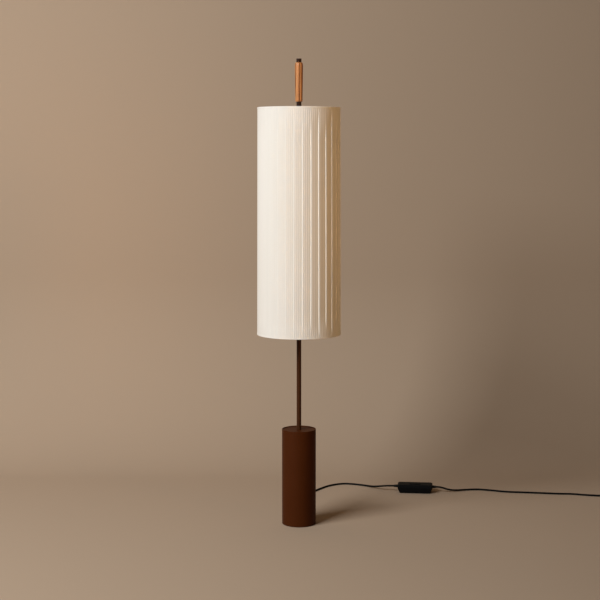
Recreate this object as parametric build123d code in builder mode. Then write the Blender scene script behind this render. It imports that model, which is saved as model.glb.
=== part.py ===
"""Pleated shade floor lamp, in millimetres.

The lamp stands on z = 0 with its pole on the z axis. The viewer stands at -y, and the mains cord
leaves the foot at the back (+y), turns to +x and runs through a foot switch to its plug.
"""
import math
import os

from build123d import *

os.makedirs("parts", exist_ok=True)

# Foot: a tall steel tube over a cast ballast
FOOT_R = 55.0
FOOT_HEIGHT = 312.0
FOOT_WALL = 1.5
FOOT_RIM_FILLET = 0.7
PAD_R = 52.0
PAD_THICK = 1.5
BOTTOM_PLATE_THICK = 2.5
TOP_PLATE_THICK = 3.0
FOOT_FIT = 0.15
BALLAST_HEIGHT = 100.0
CAVITY_R = 31.0
CAVITY_HEIGHT = 36.0
PLATE_SCREW_R = 2.5
PLATE_SCREW_HEAD_R = 4.8
PLATE_SCREW_CIRCLE_R = 42.0
PLATE_SCREW_LENGTH = 14.0
PLATE_SCREW_COUNT = 3

# Pole
POLE_R = 7.5
POLE_WALL = 1.4
POLE_FIT = 0.1
POLE_TOP_Z = 1330.0
POLE_STOP_R = 14.0
POLE_STOP_HEIGHT = 8.0
POLE_END_BELOW_NUT = 3.0
CUT_PAST = 1.0
NUT_FLATS = 24.0
NUT_HEIGHT = 8.0
WASHER_R = 17.0
WASHER_THICK = 2.5
POLE_LEAD_R = 2.5
PLUG_INSERT_LENGTH = 22.0
ROD_R = 5.0

# Grip over the shade
HUB_R = 13.0
HUB_THICK = 3.0
COLLAR_R = 7.75
GRIP_BOTTOM_Z = 1365.5
GRIP_HEIGHT = 122.5
GRIP_BOTTOM_R = 11.3
GRIP_TOP_R = 12.7
GRIP_SHOULDER_R = 9.4
GRIP_SHOULDER_DROP = 9.0
GRIP_BOTTOM_CHAMFER = 0.8
CAP_R = 8.1
CAP_HEIGHT = 12.0
CAP_EDGE = 0.8
ROD_FIT = 0.15
ROD_INTO_CAP = 8.0

# Shade
SHADE_BOTTOM_Z = 623.5
SHADE_TOP_Z = 1347.5
SHADE_R = 135.0
SHADE_TAPER = 3.0
TRIM_THICK = 0.5
TRIM_HEIGHT = 5.0
TRIM_FIT = 0.1
PLEAT_COUNT = 31
PLEAT_DEPTH = 3.0
PLEAT_STEP_SHARE = 0.09
RIB_COUNT = 4
RIB_DEPTH = 0.45
RIB_FLAT_SHARE = 0.62
RIB_DIP_SHARE = 0.86
COVER_THICK = 0.8
COVER_BACK_SIDES = 3 * PLEAT_COUNT
LINER_FIT = 0.1
LINER_THICK = 1.0
RING_WIRE_R = 2.0
RING_FROM_RIM = 9.0
RING_FIT = 0.2
SPIDER_ARM_COUNT = 3
SPIDER_ARM_R = 2.0

# Two lampholders on arms
LOWER_ARM_Z = 800.0
UPPER_ARM_Z = 1075.0
ARM_REACH = 44.0
ARM_RISE = 18.0
ARM_R = 5.0
ARM_BORE_R = 3.5
ARM_BEND_R = 9.0
ARM_LEAD_R = 2.0
ARM_OFF_POLE = 1.5
LEAD_GAP = 0.1
CLAMP_R = 13.0
CLAMP_HEIGHT = 16.0
CLAMP_SCREW_R = 2.0
CLAMP_SCREW_HEAD_R = 3.5
HOLDER_R = 17.0
HOLDER_NECK_R = 8.5
HOLDER_NECK_HEIGHT = 8.0
HOLDER_FLARE_HEIGHT = 9.0
HOLDER_HEIGHT = 54.0
HOLDER_FLOOR = 24.0
SLEEVE_R = 14.1
SLEEVE_THICK = 0.4
SLEEVE_HEIGHT = 24.0
SLEEVE_FIT = 0.1
SLEEVE_BELOW_RIM = 3.0
CONTACT_DISC_THICK = 1.0
CONTACT_R = 4.0
CONTACT_HEIGHT = 2.0

# Bulbs, standing on the lampholder's centre contact
BULB_CONTACT_GAP = 0.3
BULB_CAP_R = 13.2
BULB_CAP_THICK = 0.6
BULB_CAP_CONE = 4.0
BULB_CAP_HEIGHT = 27.0
BULB_TIP_R = 5.0
BULB_NECK_R = 12.4
BULB_NECK_DEPTH = 6.0
BULB_NECK_HEIGHT = 12.0
BULB_NECK_SWELL = 1.0
BULB_R = 30.0
BULB_HEIGHT = 108.0
BULB_GLASS = 0.9
BULB_STEM_R = 4.0
BULB_STEM_HEIGHT = 40.0
FILAMENT_R = 0.9
FILAMENT_LENGTH = 30.0
FILAMENT_COUNT = 4
FILAMENT_CIRCLE_R = 9.0

# Mains cord
CORD_R = 3.25
CORD_FIT = 0.1
CORD_BEND_SHARE = 0.45
GLAND_Z = 14.0
GLAND_R = 6.0
GLAND_FLANGE_R = 9.0
GLAND_FLANGE_THICK = 2.5
GLAND_NOSE_R = 4.4
GLAND_NOSE_LENGTH = 28.0
GLAND_INSIDE = 9.0
GLAND_NUT_FLATS = 16.0
GLAND_NUT_HEIGHT = 4.0
GLAND_NUT_OFF_WALL = 1.5
CHANNEL_WIDTH = 21.0
CHANNEL_HEIGHT = 22.0
TERMINAL_SIZE = (24.0, 18.0, 16.0)
TERMINAL_SCREWS_SHARE = 0.6

# Foot switch
SWITCH_X = 414.0
SWITCH_Y = 417.0
SWITCH_TURN = -6.0
SWITCH_LENGTH = 124.0
SWITCH_WIDTH = 54.0
SWITCH_SOLE_LENGTH = 110.0
SWITCH_SOLE_WIDTH = 51.0
SWITCH_TOP_LENGTH = 116.0
SWITCH_TOP_WIDTH = 45.0
SWITCH_SHOULDER_IN = 0.5
SWITCH_ROOF_OUT = 1.0
SWITCH_CORNER_R = 4.0
SWITCH_FOOT_R = 5.0
SWITCH_FOOT_HEIGHT = 1.5
SWITCH_SPLIT_Z = 20.0
SWITCH_SHOULDER_Z = 27.0
SWITCH_TOP_Z = 30.0
SWITCH_WALL = 2.0
SWITCH_SCREW_R = 1.5
SWITCH_SCREW_HEAD_R = 2.8
SWITCH_SCREW_LENGTH = 22.0
SWITCH_BOSS_R = 3.6
SWITCH_BOSS_X = 46.0
SWITCH_BOSS_Y = 16.0
SWITCH_FEET_X = 34.0
BUTTON_LENGTH = 38.0
BUTTON_WIDTH = 24.0
BUTTON_CORNER_R = 6.0
BUTTON_PROUD = 2.0
BUTTON_GAP = 0.4
BUTTON_FLANGE = 2.0
BUTTON_FLANGE_THICK = 1.5
BUTTON_TRAVEL = 3.0
BUTTON_EDGE = 1.0
BUTTON_STEM_R = 3.0
STEM_IN_BORE = 2.0
STEM_END_GAP = 1.0
MODULE_SIZE = (32.0, 22.0, 14.0)
RELIEF_R = 5.2
RELIEF_NOSE_R = 4.3
RELIEF_OUTSIDE = 12.0
RELIEF_INSIDE = 12.0
RELIEF_FLANGE_R = 6.5
RELIEF_FLANGE_THICK = 2.0
RELIEF_FLANGE_AT = 5.5
LEAD_BEND_R = 6.0
LEAD_HIGH_RUN = 20.0
LEAD_LOW_RUN = 9.0

# Coil of the spare cord, its tie and the plug
COIL_START_X = 1124.3
COIL_START_Y = 331.4
COIL_START_ANGLE = -104.0
COIL_OUTER_R = 43.0
COIL_WIND_IN = 682.0
COIL_CLIMB = 180.0
COIL_STEP = 7.0
COIL_LIFT = 0.9
COIL_QUARTERS_IN = 8
COIL_LEAD_IN = 47.0
TIE_ANGLE = 200.0
TIE_THICK = 0.8
TIE_WIDTH = 9.0
TIE_SLACK = 0.2
TIE_CORNER_R = 3.0
PLUG_BOOT_LENGTH = 24.0
PLUG_BOOT_R = 7.0
PLUG_BOOT_NOSE_R = 4.2
PLUG_WIDTH = 36.0
PLUG_LENGTH = 28.0
PLUG_CORNER_R = 7.0
PLUG_NECK_WIDTH_SHARE = 0.6
PLUG_NECK_HEIGHT_SHARE = 0.8
PIN_R = 2.0
PIN_LENGTH = 19.0
PIN_SPACING = 19.0
PIN_ROOT = 6.0

# Heights and radii that follow from these
QUARTER_TURN = 90.0
FOOT_TOP_Z = PAD_THICK + FOOT_HEIGHT
FOOT_BORE_R = FOOT_R - FOOT_WALL
INNER_R = FOOT_BORE_R - FOOT_FIT
BALLAST_Z = PAD_THICK + BOTTOM_PLATE_THICK
BALLAST_TOP_Z = BALLAST_Z + BALLAST_HEIGHT
CAVITY_TOP_Z = BALLAST_Z + CAVITY_HEIGHT
WASHER_Z = CAVITY_TOP_Z - WASHER_THICK
NUT_Z = WASHER_Z - NUT_HEIGHT
POLE_BOTTOM_Z = NUT_Z - POLE_END_BELOW_NUT
POLE_BORE_R = POLE_R - POLE_WALL
HUB_TOP_Z = POLE_TOP_Z + HUB_THICK
GRIP_TOP_Z = GRIP_BOTTOM_Z + GRIP_HEIGHT
ROD_BOTTOM_Z = POLE_TOP_Z - PLUG_INSERT_LENGTH
GLAND_TIP_Y = FOOT_R + GLAND_FLANGE_THICK + GLAND_NOSE_LENGTH
TERMINAL_TOP_Z = BALLAST_Z + TERMINAL_SIZE[2]
COVER_BOTTOM_Z = SHADE_BOTTOM_Z + TRIM_THICK + TRIM_FIT
COVER_TOP_Z = SHADE_TOP_Z - TRIM_THICK - TRIM_FIT
HOLDER_Z = ARM_RISE - HOLDER_NECK_HEIGHT
CONTACT_Z = HOLDER_FLOOR + CONTACT_DISC_THICK
BULB_Z = CONTACT_Z + CONTACT_HEIGHT + BULB_CONTACT_GAP
LAYER_Z = CORD_R + COIL_LIFT
UPPER_LAYER_Z = LAYER_Z + COIL_STEP

BASE_ALIGN = (Align.CENTER, Align.CENTER, Align.MIN)
SWITCH_PLANE = Plane(
    origin=(SWITCH_X, SWITCH_Y, 0),
    x_dir=Vector(1, 0, 0).rotate(Axis.Z, SWITCH_TURN),
    z_dir=(0, 0, 1),
)


def disc(low, height, radius, bore=0.0):
    """An upright round plate or tube on the lamp's axis."""
    with BuildPart() as made:
        with BuildSketch(Plane.XY.offset(low)):
            Circle(radius)
            if bore:
                Circle(bore, mode=Mode.SUBTRACT)
        extrude(amount=height)
    return made


def shade_radius(z, inset):
    """The shade's radius at a height, less an inset from its trims' outside."""
    share = (z - SHADE_BOTTOM_Z) / (SHADE_TOP_Z - SHADE_BOTTOM_Z)
    return SHADE_R - SHADE_TAPER * share - inset


# Foot
foot_pad = disc(0, PAD_THICK, PAD_R)

with BuildPart() as bottom_plate:
    with BuildSketch(Plane.XY.offset(PAD_THICK)):
        Circle(INNER_R)
    extrude(amount=BOTTOM_PLATE_THICK)
    with Locations(Plane.XY.offset(PAD_THICK)):
        with PolarLocations(PLATE_SCREW_CIRCLE_R, PLATE_SCREW_COUNT, start_angle=30):
            Cone(
                PLATE_SCREW_HEAD_R + FOOT_FIT,
                PLATE_SCREW_R + FOOT_FIT,
                BOTTOM_PLATE_THICK,
                align=BASE_ALIGN,
                mode=Mode.SUBTRACT,
            )

with BuildPart() as bottom_plate_screws:
    with Locations(Plane.XY.offset(PAD_THICK)):
        with PolarLocations(PLATE_SCREW_CIRCLE_R, PLATE_SCREW_COUNT, start_angle=30):
            Cone(PLATE_SCREW_HEAD_R, PLATE_SCREW_R, BOTTOM_PLATE_THICK, align=BASE_ALIGN)
            Cylinder(PLATE_SCREW_R, BOTTOM_PLATE_THICK + PLATE_SCREW_LENGTH, align=BASE_ALIGN)

with BuildPart() as ballast:
    with BuildSketch(Plane.XY.offset(BALLAST_Z)):
        Circle(INNER_R)
        Circle(POLE_R + POLE_FIT, mode=Mode.SUBTRACT)
    extrude(amount=BALLAST_HEIGHT)
    with BuildSketch(Plane.XY.offset(BALLAST_Z)):
        Circle(CAVITY_R)
    extrude(amount=CAVITY_HEIGHT, mode=Mode.SUBTRACT)
    with BuildSketch(Plane.XY.offset(BALLAST_Z)):
        with Locations((0, FOOT_R / 2)):
            Rectangle(CHANNEL_WIDTH, FOOT_R)
    extrude(amount=CHANNEL_HEIGHT, mode=Mode.SUBTRACT)
    with BuildSketch(Plane.XY.offset(BALLAST_Z)):
        with PolarLocations(PLATE_SCREW_CIRCLE_R, PLATE_SCREW_COUNT, start_angle=30):
            Circle(PLATE_SCREW_R + FOOT_FIT)
    extrude(amount=PLATE_SCREW_LENGTH + CUT_PAST, mode=Mode.SUBTRACT)

with BuildPart() as foot_tube:
    with BuildSketch(Plane.XY.offset(PAD_THICK)):
        Circle(FOOT_R)
        Circle(FOOT_BORE_R, mode=Mode.SUBTRACT)
    extrude(amount=FOOT_HEIGHT)
    outer_rims = foot_tube.edges().filter_by(GeomType.CIRCLE).group_by(SortBy.RADIUS)[-1]
    fillet(outer_rims, FOOT_RIM_FILLET)
    with BuildSketch(Plane.XZ.offset(-FOOT_R)):
        with Locations((0, GLAND_Z)):
            Circle(GLAND_R + CORD_FIT)
    extrude(amount=FOOT_R / 2, mode=Mode.SUBTRACT)

with BuildPart() as foot_top_plate:
    with BuildSketch(Plane.XY.offset(FOOT_TOP_Z - TOP_PLATE_THICK)):
        Circle(INNER_R)
        Circle(POLE_R + POLE_FIT, mode=Mode.SUBTRACT)
    extrude(amount=TOP_PLATE_THICK - FOOT_RIM_FILLET / 2)

# Pole, its stop on the ballast, washer and nut
with BuildPart() as pole:
    with BuildSketch(Plane.XY.offset(POLE_BOTTOM_Z)):
        Circle(POLE_R)
    extrude(amount=POLE_TOP_Z - POLE_BOTTOM_Z)
    with BuildSketch(Plane.XY.offset(BALLAST_TOP_Z)):
        Circle(POLE_STOP_R)
    extrude(amount=POLE_STOP_HEIGHT)
    with BuildSketch(Plane.XY.offset(POLE_BOTTOM_Z)):
        Circle(POLE_BORE_R)
    extrude(amount=POLE_TOP_Z - POLE_BOTTOM_Z, mode=Mode.SUBTRACT)
    with BuildSketch(Plane.YZ):
        with Locations((0, LOWER_ARM_Z)):
            Circle(ARM_BORE_R)
    extrude(amount=POLE_R + CUT_PAST, mode=Mode.SUBTRACT)
    with BuildSketch(Plane.YZ):
        with Locations((0, UPPER_ARM_Z)):
            Circle(ARM_BORE_R)
    extrude(amount=-POLE_R - CUT_PAST, mode=Mode.SUBTRACT)

pole_washer = disc(WASHER_Z, WASHER_THICK, WASHER_R, POLE_R + POLE_FIT)

with BuildPart() as pole_nut:
    with BuildSketch(Plane.XY.offset(NUT_Z)):
        RegularPolygon(NUT_FLATS / 2, 6, major_radius=False)
        Circle(POLE_R + POLE_FIT, mode=Mode.SUBTRACT)
    extrude(amount=NUT_HEIGHT)

pole_top_insert = disc(ROD_BOTTOM_Z, PLUG_INSERT_LENGTH, POLE_BORE_R, ROD_R)
pole_lead = disc(TERMINAL_TOP_Z, UPPER_ARM_Z - TERMINAL_TOP_Z, POLE_LEAD_R)

# Grip, held by a rod screwed into the pole
clamp_rod = disc(ROD_BOTTOM_Z, GRIP_TOP_Z + ROD_INTO_CAP - ROD_BOTTOM_Z, ROD_R)
grip_collar = disc(HUB_TOP_Z, GRIP_BOTTOM_Z - HUB_TOP_Z, COLLAR_R, ROD_R + ROD_FIT)

with BuildPart() as grip:
    with BuildSketch(Plane.XZ):
        with BuildLine():
            shoulder = (GRIP_TOP_R, GRIP_TOP_Z - GRIP_SHOULDER_DROP)
            Polyline(
                (GRIP_SHOULDER_R, GRIP_TOP_Z),
                (ROD_R + ROD_FIT, GRIP_TOP_Z),
                (ROD_R + ROD_FIT, GRIP_BOTTOM_Z),
                (GRIP_BOTTOM_R - GRIP_BOTTOM_CHAMFER, GRIP_BOTTOM_Z),
                (GRIP_BOTTOM_R, GRIP_BOTTOM_Z + GRIP_BOTTOM_CHAMFER),
                shoulder,
            )
            EllipticalCenterArc(
                (GRIP_SHOULDER_R, GRIP_TOP_Z - GRIP_SHOULDER_DROP),
                GRIP_TOP_R - GRIP_SHOULDER_R,
                GRIP_SHOULDER_DROP,
                start_angle=0,
                arc_size=QUARTER_TURN,
            )
        make_face()
    revolve(axis=Axis.Z)

with BuildPart() as grip_cap:
    with BuildSketch(Plane.XY.offset(GRIP_TOP_Z)):
        Circle(CAP_R)
    extrude(amount=CAP_HEIGHT)
    fillet(grip_cap.edges().group_by(Axis.Z)[-1], CAP_EDGE)
    with BuildSketch(Plane.XY.offset(GRIP_TOP_Z)):
        Circle(ROD_R + ROD_FIT)
    extrude(amount=ROD_INTO_CAP, mode=Mode.SUBTRACT)

# Shade: a pleated cover on a stiff liner, with wire rings, a spider and cloth trims
LINER_INSET = TRIM_THICK + TRIM_FIT + PLEAT_DEPTH + COVER_THICK + LINER_FIT
LINER_BORE_INSET = LINER_INSET + LINER_THICK


def cone_wall(low, high, outer_inset, inner_inset):
    """A thin conical wall that follows the shade's slope."""
    with BuildPart() as made:
        with BuildSketch(Plane.XY.offset(low)):
            Circle(shade_radius(low, outer_inset))
        with BuildSketch(Plane.XY.offset(high)):
            Circle(shade_radius(high, outer_inset))
        loft()
        with BuildSketch(Plane.XY.offset(low)):
            Circle(shade_radius(low, inner_inset))
        with BuildSketch(Plane.XY.offset(high)):
            Circle(shade_radius(high, inner_inset))
        loft(mode=Mode.SUBTRACT)
    return made


def pleat_outline(radius):
    """Corners of the pleats: each rises in a narrow step and falls slowly, in shallow ribs."""
    corners = []
    pitch = 2 * math.pi / PLEAT_COUNT
    for pleat in range(PLEAT_COUNT):
        start = pleat * pitch
        corners.append((start, radius - PLEAT_DEPTH))
        for rib in range(RIB_COUNT):
            for place, dip in ((0.0, 0.0), (RIB_FLAT_SHARE, 0.0), (RIB_DIP_SHARE, RIB_DEPTH)):
                share = (rib + place) / RIB_COUNT
                angle = start + pitch * (PLEAT_STEP_SHARE + (1 - PLEAT_STEP_SHARE) * share)
                fall = PLEAT_DEPTH * share + dip
                corners.append((angle, radius - min(fall, PLEAT_DEPTH + dip)))
    return [(r * math.cos(a), r * math.sin(a)) for a, r in corners]


shade_liner = cone_wall(COVER_BOTTOM_Z, COVER_TOP_Z, LINER_INSET, LINER_BORE_INSET)

with BuildPart() as shade_pleats:
    for rim_z in (COVER_BOTTOM_Z, COVER_TOP_Z):
        with BuildSketch(Plane.XY.offset(rim_z)):
            Polygon(*pleat_outline(shade_radius(rim_z, TRIM_THICK + TRIM_FIT)), align=None)
    loft(ruled=True)
    for rim_z in (COVER_BOTTOM_Z, COVER_TOP_Z):
        with BuildSketch(Plane.XY.offset(rim_z)):
            RegularPolygon(shade_radius(rim_z, LINER_INSET - LINER_FIT), COVER_BACK_SIDES)
    loft(ruled=True, mode=Mode.SUBTRACT)


def shade_trim(rim_z, inward):
    """A folded cloth edge round a rim: an outer skirt, a web over the rim and an inner skirt."""
    low = rim_z if inward > 0 else rim_z - TRIM_HEIGHT
    groove_low = low + TRIM_THICK if inward > 0 else low
    outer = shade_radius(rim_z, 0)
    skirt = shade_radius(rim_z, LINER_BORE_INSET + TRIM_FIT)
    with BuildPart() as made:
        with BuildSketch(Plane.XY.offset(low)):
            Circle(outer)
            Circle(skirt - TRIM_THICK, mode=Mode.SUBTRACT)
        extrude(amount=TRIM_HEIGHT)
        with BuildSketch(Plane.XY.offset(groove_low)):
            Circle(outer - TRIM_THICK)
            Circle(skirt, mode=Mode.SUBTRACT)
        extrude(amount=TRIM_HEIGHT - TRIM_THICK, mode=Mode.SUBTRACT)
    return made


def shade_ring(z):
    """A wire ring just inside the liner."""
    with BuildPart() as made:
        with BuildSketch(Plane.XZ):
            with Locations((shade_radius(z, LINER_BORE_INSET + RING_FIT) - RING_WIRE_R, z)):
                Circle(RING_WIRE_R)
        revolve(axis=Axis.Z)
    return made


shade_bottom_trim = shade_trim(SHADE_BOTTOM_Z, 1)
shade_top_trim = shade_trim(SHADE_TOP_Z, -1)
shade_bottom_ring = shade_ring(SHADE_BOTTOM_Z + RING_FROM_RIM)
shade_top_ring = shade_ring(SHADE_TOP_Z - RING_FROM_RIM)

with BuildPart() as shade_spider:
    ring_z = SHADE_TOP_Z - RING_FROM_RIM
    ring_inside = shade_radius(ring_z, LINER_BORE_INSET + RING_FIT) - 2 * RING_WIRE_R - RING_FIT
    arm_start = Vector(HUB_R - CUT_PAST, 0, POLE_TOP_Z + HUB_THICK / 2)
    arm_end = Vector(ring_inside, 0, ring_z)
    for arm in range(SPIDER_ARM_COUNT):
        turn = QUARTER_TURN + arm * 360 / SPIDER_ARM_COUNT
        start = arm_start.rotate(Axis.Z, turn)
        end = arm_end.rotate(Axis.Z, turn)
        with BuildSketch(Plane(origin=start, z_dir=end - start)):
            Circle(SPIDER_ARM_R)
        extrude(amount=(end - start).length)
    with BuildSketch(Plane.XY.offset(POLE_TOP_Z)):
        Circle(HUB_R)
    extrude(amount=HUB_THICK)
    with BuildSketch(Plane.XY.offset(POLE_TOP_Z - HUB_THICK)):
        Circle(ROD_R + ROD_FIT)
    extrude(amount=3 * HUB_THICK, mode=Mode.SUBTRACT)


def holder_plane(arm_z, side):
    """The plane at the lower end of a lampholder's neck."""
    return Plane(origin=(side * ARM_REACH, 0, arm_z + HOLDER_Z), z_dir=(0, 0, 1))


def turned(plane, outline):
    """A round piece about a plane's z axis, from its outline as (radius, height) corners."""
    with BuildPart() as made:
        with BuildSketch(Plane(origin=plane.origin, x_dir=plane.x_dir, z_dir=-plane.y_dir)):
            with BuildLine():
                Polyline(*outline, close=True)
            make_face()
        revolve(axis=Axis(plane.origin, plane.z_dir))
    return made


def arm_route(start, side, arm_z):
    """Corners of an arm: out from the pole and up into the lampholder."""
    return [
        (side * start, 0, arm_z),
        (side * ARM_REACH, 0, arm_z),
        (side * ARM_REACH, 0, arm_z + ARM_RISE),
    ]


def arm_clamp(arm_z, side):
    """The collar that holds an arm on the pole, with a socket for the arm."""
    with BuildPart() as made:
        with BuildSketch(Plane.XY.offset(arm_z - CLAMP_HEIGHT / 2)):
            Circle(CLAMP_R)
            Circle(POLE_R + POLE_FIT, mode=Mode.SUBTRACT)
        extrude(amount=CLAMP_HEIGHT)
        with BuildSketch(Plane(origin=(0, 0, arm_z), z_dir=(side, 0, 0))):
            Circle(ARM_R + POLE_FIT)
        extrude(amount=CLAMP_R + CUT_PAST, mode=Mode.SUBTRACT)
        with BuildSketch(Plane(origin=(0, 0, arm_z), z_dir=(-side, 0, 0))):
            Circle(CLAMP_SCREW_R + POLE_FIT)
        extrude(amount=CLAMP_R + CUT_PAST, mode=Mode.SUBTRACT)
    return made


def lamp_arm(arm_z, side):
    """The bent tube from the collar to the lampholder."""
    arm_start = POLE_R + ARM_OFF_POLE
    with BuildPart() as made:
        with BuildLine():
            FilletPolyline(*arm_route(arm_start, side, arm_z), radius=ARM_BEND_R)
        with BuildSketch(Plane(origin=(side * arm_start, 0, arm_z), z_dir=(side, 0, 0))):
            Circle(ARM_R)
            Circle(ARM_BORE_R, mode=Mode.SUBTRACT)
        sweep()
    return made


def arm_lead(arm_z, side):
    """The insulated lead inside an arm."""
    lead_start = POLE_LEAD_R + LEAD_GAP
    with BuildPart() as made:
        with BuildLine():
            FilletPolyline(*arm_route(lead_start, side, arm_z), radius=ARM_BEND_R)
        with BuildSketch(Plane(origin=(side * lead_start, 0, arm_z), z_dir=(side, 0, 0))):
            Circle(ARM_LEAD_R)
        sweep()
    return made


def lampholder(arm_z, side):
    """A plain lampholder, open at the top, with a neck for the arm."""
    flare_top = HOLDER_NECK_HEIGHT + HOLDER_FLARE_HEIGHT
    return turned(
        holder_plane(arm_z, side),
        [
            (ARM_R + POLE_FIT, 0),
            (HOLDER_NECK_R, 0),
            (HOLDER_NECK_R, HOLDER_NECK_HEIGHT),
            (HOLDER_R, flare_top),
            (HOLDER_R, HOLDER_HEIGHT),
            (SLEEVE_R + SLEEVE_FIT, HOLDER_HEIGHT),
            (SLEEVE_R + SLEEVE_FIT, HOLDER_FLOOR),
            (ARM_R + POLE_FIT, HOLDER_FLOOR),
        ],
    )


def lampholder_sleeve(arm_z, side):
    """The metal screw shell that lines a lampholder."""
    top = HOLDER_HEIGHT - SLEEVE_BELOW_RIM
    return turned(
        holder_plane(arm_z, side),
        [
            (SLEEVE_R - SLEEVE_THICK, top - SLEEVE_HEIGHT),
            (SLEEVE_R, top - SLEEVE_HEIGHT),
            (SLEEVE_R, top),
            (SLEEVE_R - SLEEVE_THICK, top),
        ],
    )


def lampholder_contact(arm_z, side):
    """The centre contact on its insulating disc, on the lampholder's floor."""
    return turned(
        holder_plane(arm_z, side),
        [
            (0, HOLDER_FLOOR + POLE_FIT),
            (SLEEVE_R - SLEEVE_THICK, HOLDER_FLOOR + POLE_FIT),
            (SLEEVE_R - SLEEVE_THICK, CONTACT_Z),
            (CONTACT_R, CONTACT_Z),
            (CONTACT_R, CONTACT_Z + CONTACT_HEIGHT),
            (0, CONTACT_Z + CONTACT_HEIGHT),
        ],
    )


def bulb_cap(arm_z, side):
    """A bulb's hollow screw cap, closed at its tip."""
    return turned(
        holder_plane(arm_z, side),
        [
            (0, BULB_Z),
            (BULB_TIP_R, BULB_Z),
            (BULB_CAP_R, BULB_Z + BULB_CAP_CONE),
            (BULB_CAP_R, BULB_Z + BULB_CAP_HEIGHT),
            (BULB_CAP_R - BULB_CAP_THICK, BULB_Z + BULB_CAP_HEIGHT),
            (BULB_CAP_R - BULB_CAP_THICK, BULB_Z + BULB_CAP_CONE + BULB_CAP_THICK),
            (BULB_TIP_R, BULB_Z + 2 * BULB_CAP_THICK),
            (0, BULB_Z + 2 * BULB_CAP_THICK),
        ],
    )


def bulb_glass(arm_z, side):
    """A pear-shaped envelope, open at its neck inside the cap."""
    plane = holder_plane(arm_z, side)
    belly = BULB_Z + BULB_HEIGHT - BULB_R
    neck = BULB_Z + BULB_CAP_HEIGHT - BULB_NECK_DEPTH
    with BuildPart() as made:
        with BuildSketch(Plane(origin=plane.origin, x_dir=plane.x_dir, z_dir=-plane.y_dir)):
            for shrink, mode in ((0.0, Mode.ADD), (BULB_GLASS, Mode.SUBTRACT)):
                with BuildLine():
                    flank = Spline(
                        (BULB_NECK_R - shrink, neck),
                        (BULB_NECK_R + BULB_NECK_SWELL - shrink, neck + BULB_NECK_HEIGHT),
                        (BULB_R - shrink, belly),
                        tangents=[(0, 1), (0, 1)],
                    )
                    JernArc((BULB_R - shrink, belly), (0, 1), BULB_R - shrink, QUARTER_TURN)
                    Line((0, belly + BULB_R - shrink), (0, neck))
                    Line((0, neck), flank @ 0)
                make_face(mode=mode)
        revolve(axis=Axis(plane.origin, plane.z_dir))
    return made


def bulb_filament(arm_z, side):
    """The glass stem with its ring of slanted filament rods."""
    plane = holder_plane(arm_z, side)
    stem_z = BULB_Z + BULB_CAP_HEIGHT - BULB_NECK_DEPTH
    with BuildPart() as made:
        with BuildSketch(plane.offset(stem_z)):
            Circle(BULB_STEM_R)
        extrude(amount=BULB_STEM_HEIGHT)
        with BuildSketch(plane.offset(stem_z)):
            Circle(BULB_NECK_R - BULB_GLASS - POLE_FIT)
        extrude(amount=BULB_GLASS)
        with BuildSketch(plane.offset(stem_z + BULB_STEM_HEIGHT)):
            Circle(FILAMENT_CIRCLE_R + 2 * FILAMENT_R)
        extrude(amount=BULB_GLASS)
        with BuildSketch(plane.offset(stem_z + BULB_STEM_HEIGHT)):
            with PolarLocations(FILAMENT_CIRCLE_R, FILAMENT_COUNT):
                Circle(FILAMENT_R)
        extrude(amount=FILAMENT_LENGTH)
    return made


def clamp_screws():
    """Both grub screws, which press the collars on the pole."""
    with BuildPart() as made:
        for arm_z, side in ((LOWER_ARM_Z, 1), (UPPER_ARM_Z, -1)):
            tip = -side * (POLE_R + POLE_FIT)
            with BuildSketch(Plane(origin=(tip, 0, arm_z), z_dir=(-side, 0, 0))):
                Circle(CLAMP_SCREW_R)
            extrude(amount=CLAMP_R - POLE_R)
            with BuildSketch(Plane(origin=(-side * CLAMP_R, 0, arm_z), z_dir=(-side, 0, 0))):
                Circle(CLAMP_SCREW_HEAD_R)
            extrude(amount=CLAMP_SCREW_R)
    return made


# Cord gland, terminal block and the lead between them
with BuildPart() as cord_gland:
    with BuildSketch(Plane(origin=(0, FOOT_R + GLAND_FLANGE_THICK, GLAND_Z), z_dir=(0, -1, 0))):
        Circle(GLAND_R)
    extrude(amount=GLAND_FLANGE_THICK + FOOT_WALL + GLAND_INSIDE)
    with BuildSketch(Plane(origin=(0, FOOT_R + GLAND_FLANGE_THICK, GLAND_Z), z_dir=(0, -1, 0))):
        Circle(GLAND_FLANGE_R)
    extrude(amount=GLAND_FLANGE_THICK)
    with BuildSketch(Plane(origin=(0, FOOT_R + GLAND_FLANGE_THICK, GLAND_Z), z_dir=(0, 1, 0))):
        Circle(GLAND_R)
    with BuildSketch(Plane(origin=(0, GLAND_TIP_Y, GLAND_Z), z_dir=(0, 1, 0))):
        Circle(GLAND_NOSE_R)
    loft()
    with BuildSketch(Plane(origin=(0, GLAND_TIP_Y, GLAND_Z), z_dir=(0, -1, 0))):
        Circle(CORD_R + CORD_FIT)
    extrude(amount=GLAND_TIP_Y, mode=Mode.SUBTRACT)

with BuildPart() as gland_nut:
    nut_face = FOOT_BORE_R - GLAND_NUT_OFF_WALL
    with BuildSketch(Plane(origin=(0, nut_face, GLAND_Z), z_dir=(0, -1, 0))):
        RegularPolygon(GLAND_NUT_FLATS / 2, 6, major_radius=False)
        Circle(GLAND_R + CORD_FIT, mode=Mode.SUBTRACT)
    extrude(amount=GLAND_NUT_HEIGHT)

with BuildPart() as terminal_block:
    with Locations((0, 0, BALLAST_Z)):
        Box(*TERMINAL_SIZE, align=BASE_ALIGN)
    with BuildSketch(Plane.XY.offset(TERMINAL_TOP_Z)):
        with GridLocations(TERMINAL_SIZE[0] / 2, TERMINAL_SIZE[1] * TERMINAL_SCREWS_SHARE, 2, 2):
            Circle(CLAMP_SCREW_R)
    extrude(amount=-CLAMP_SCREW_HEAD_R, mode=Mode.SUBTRACT)

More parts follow.
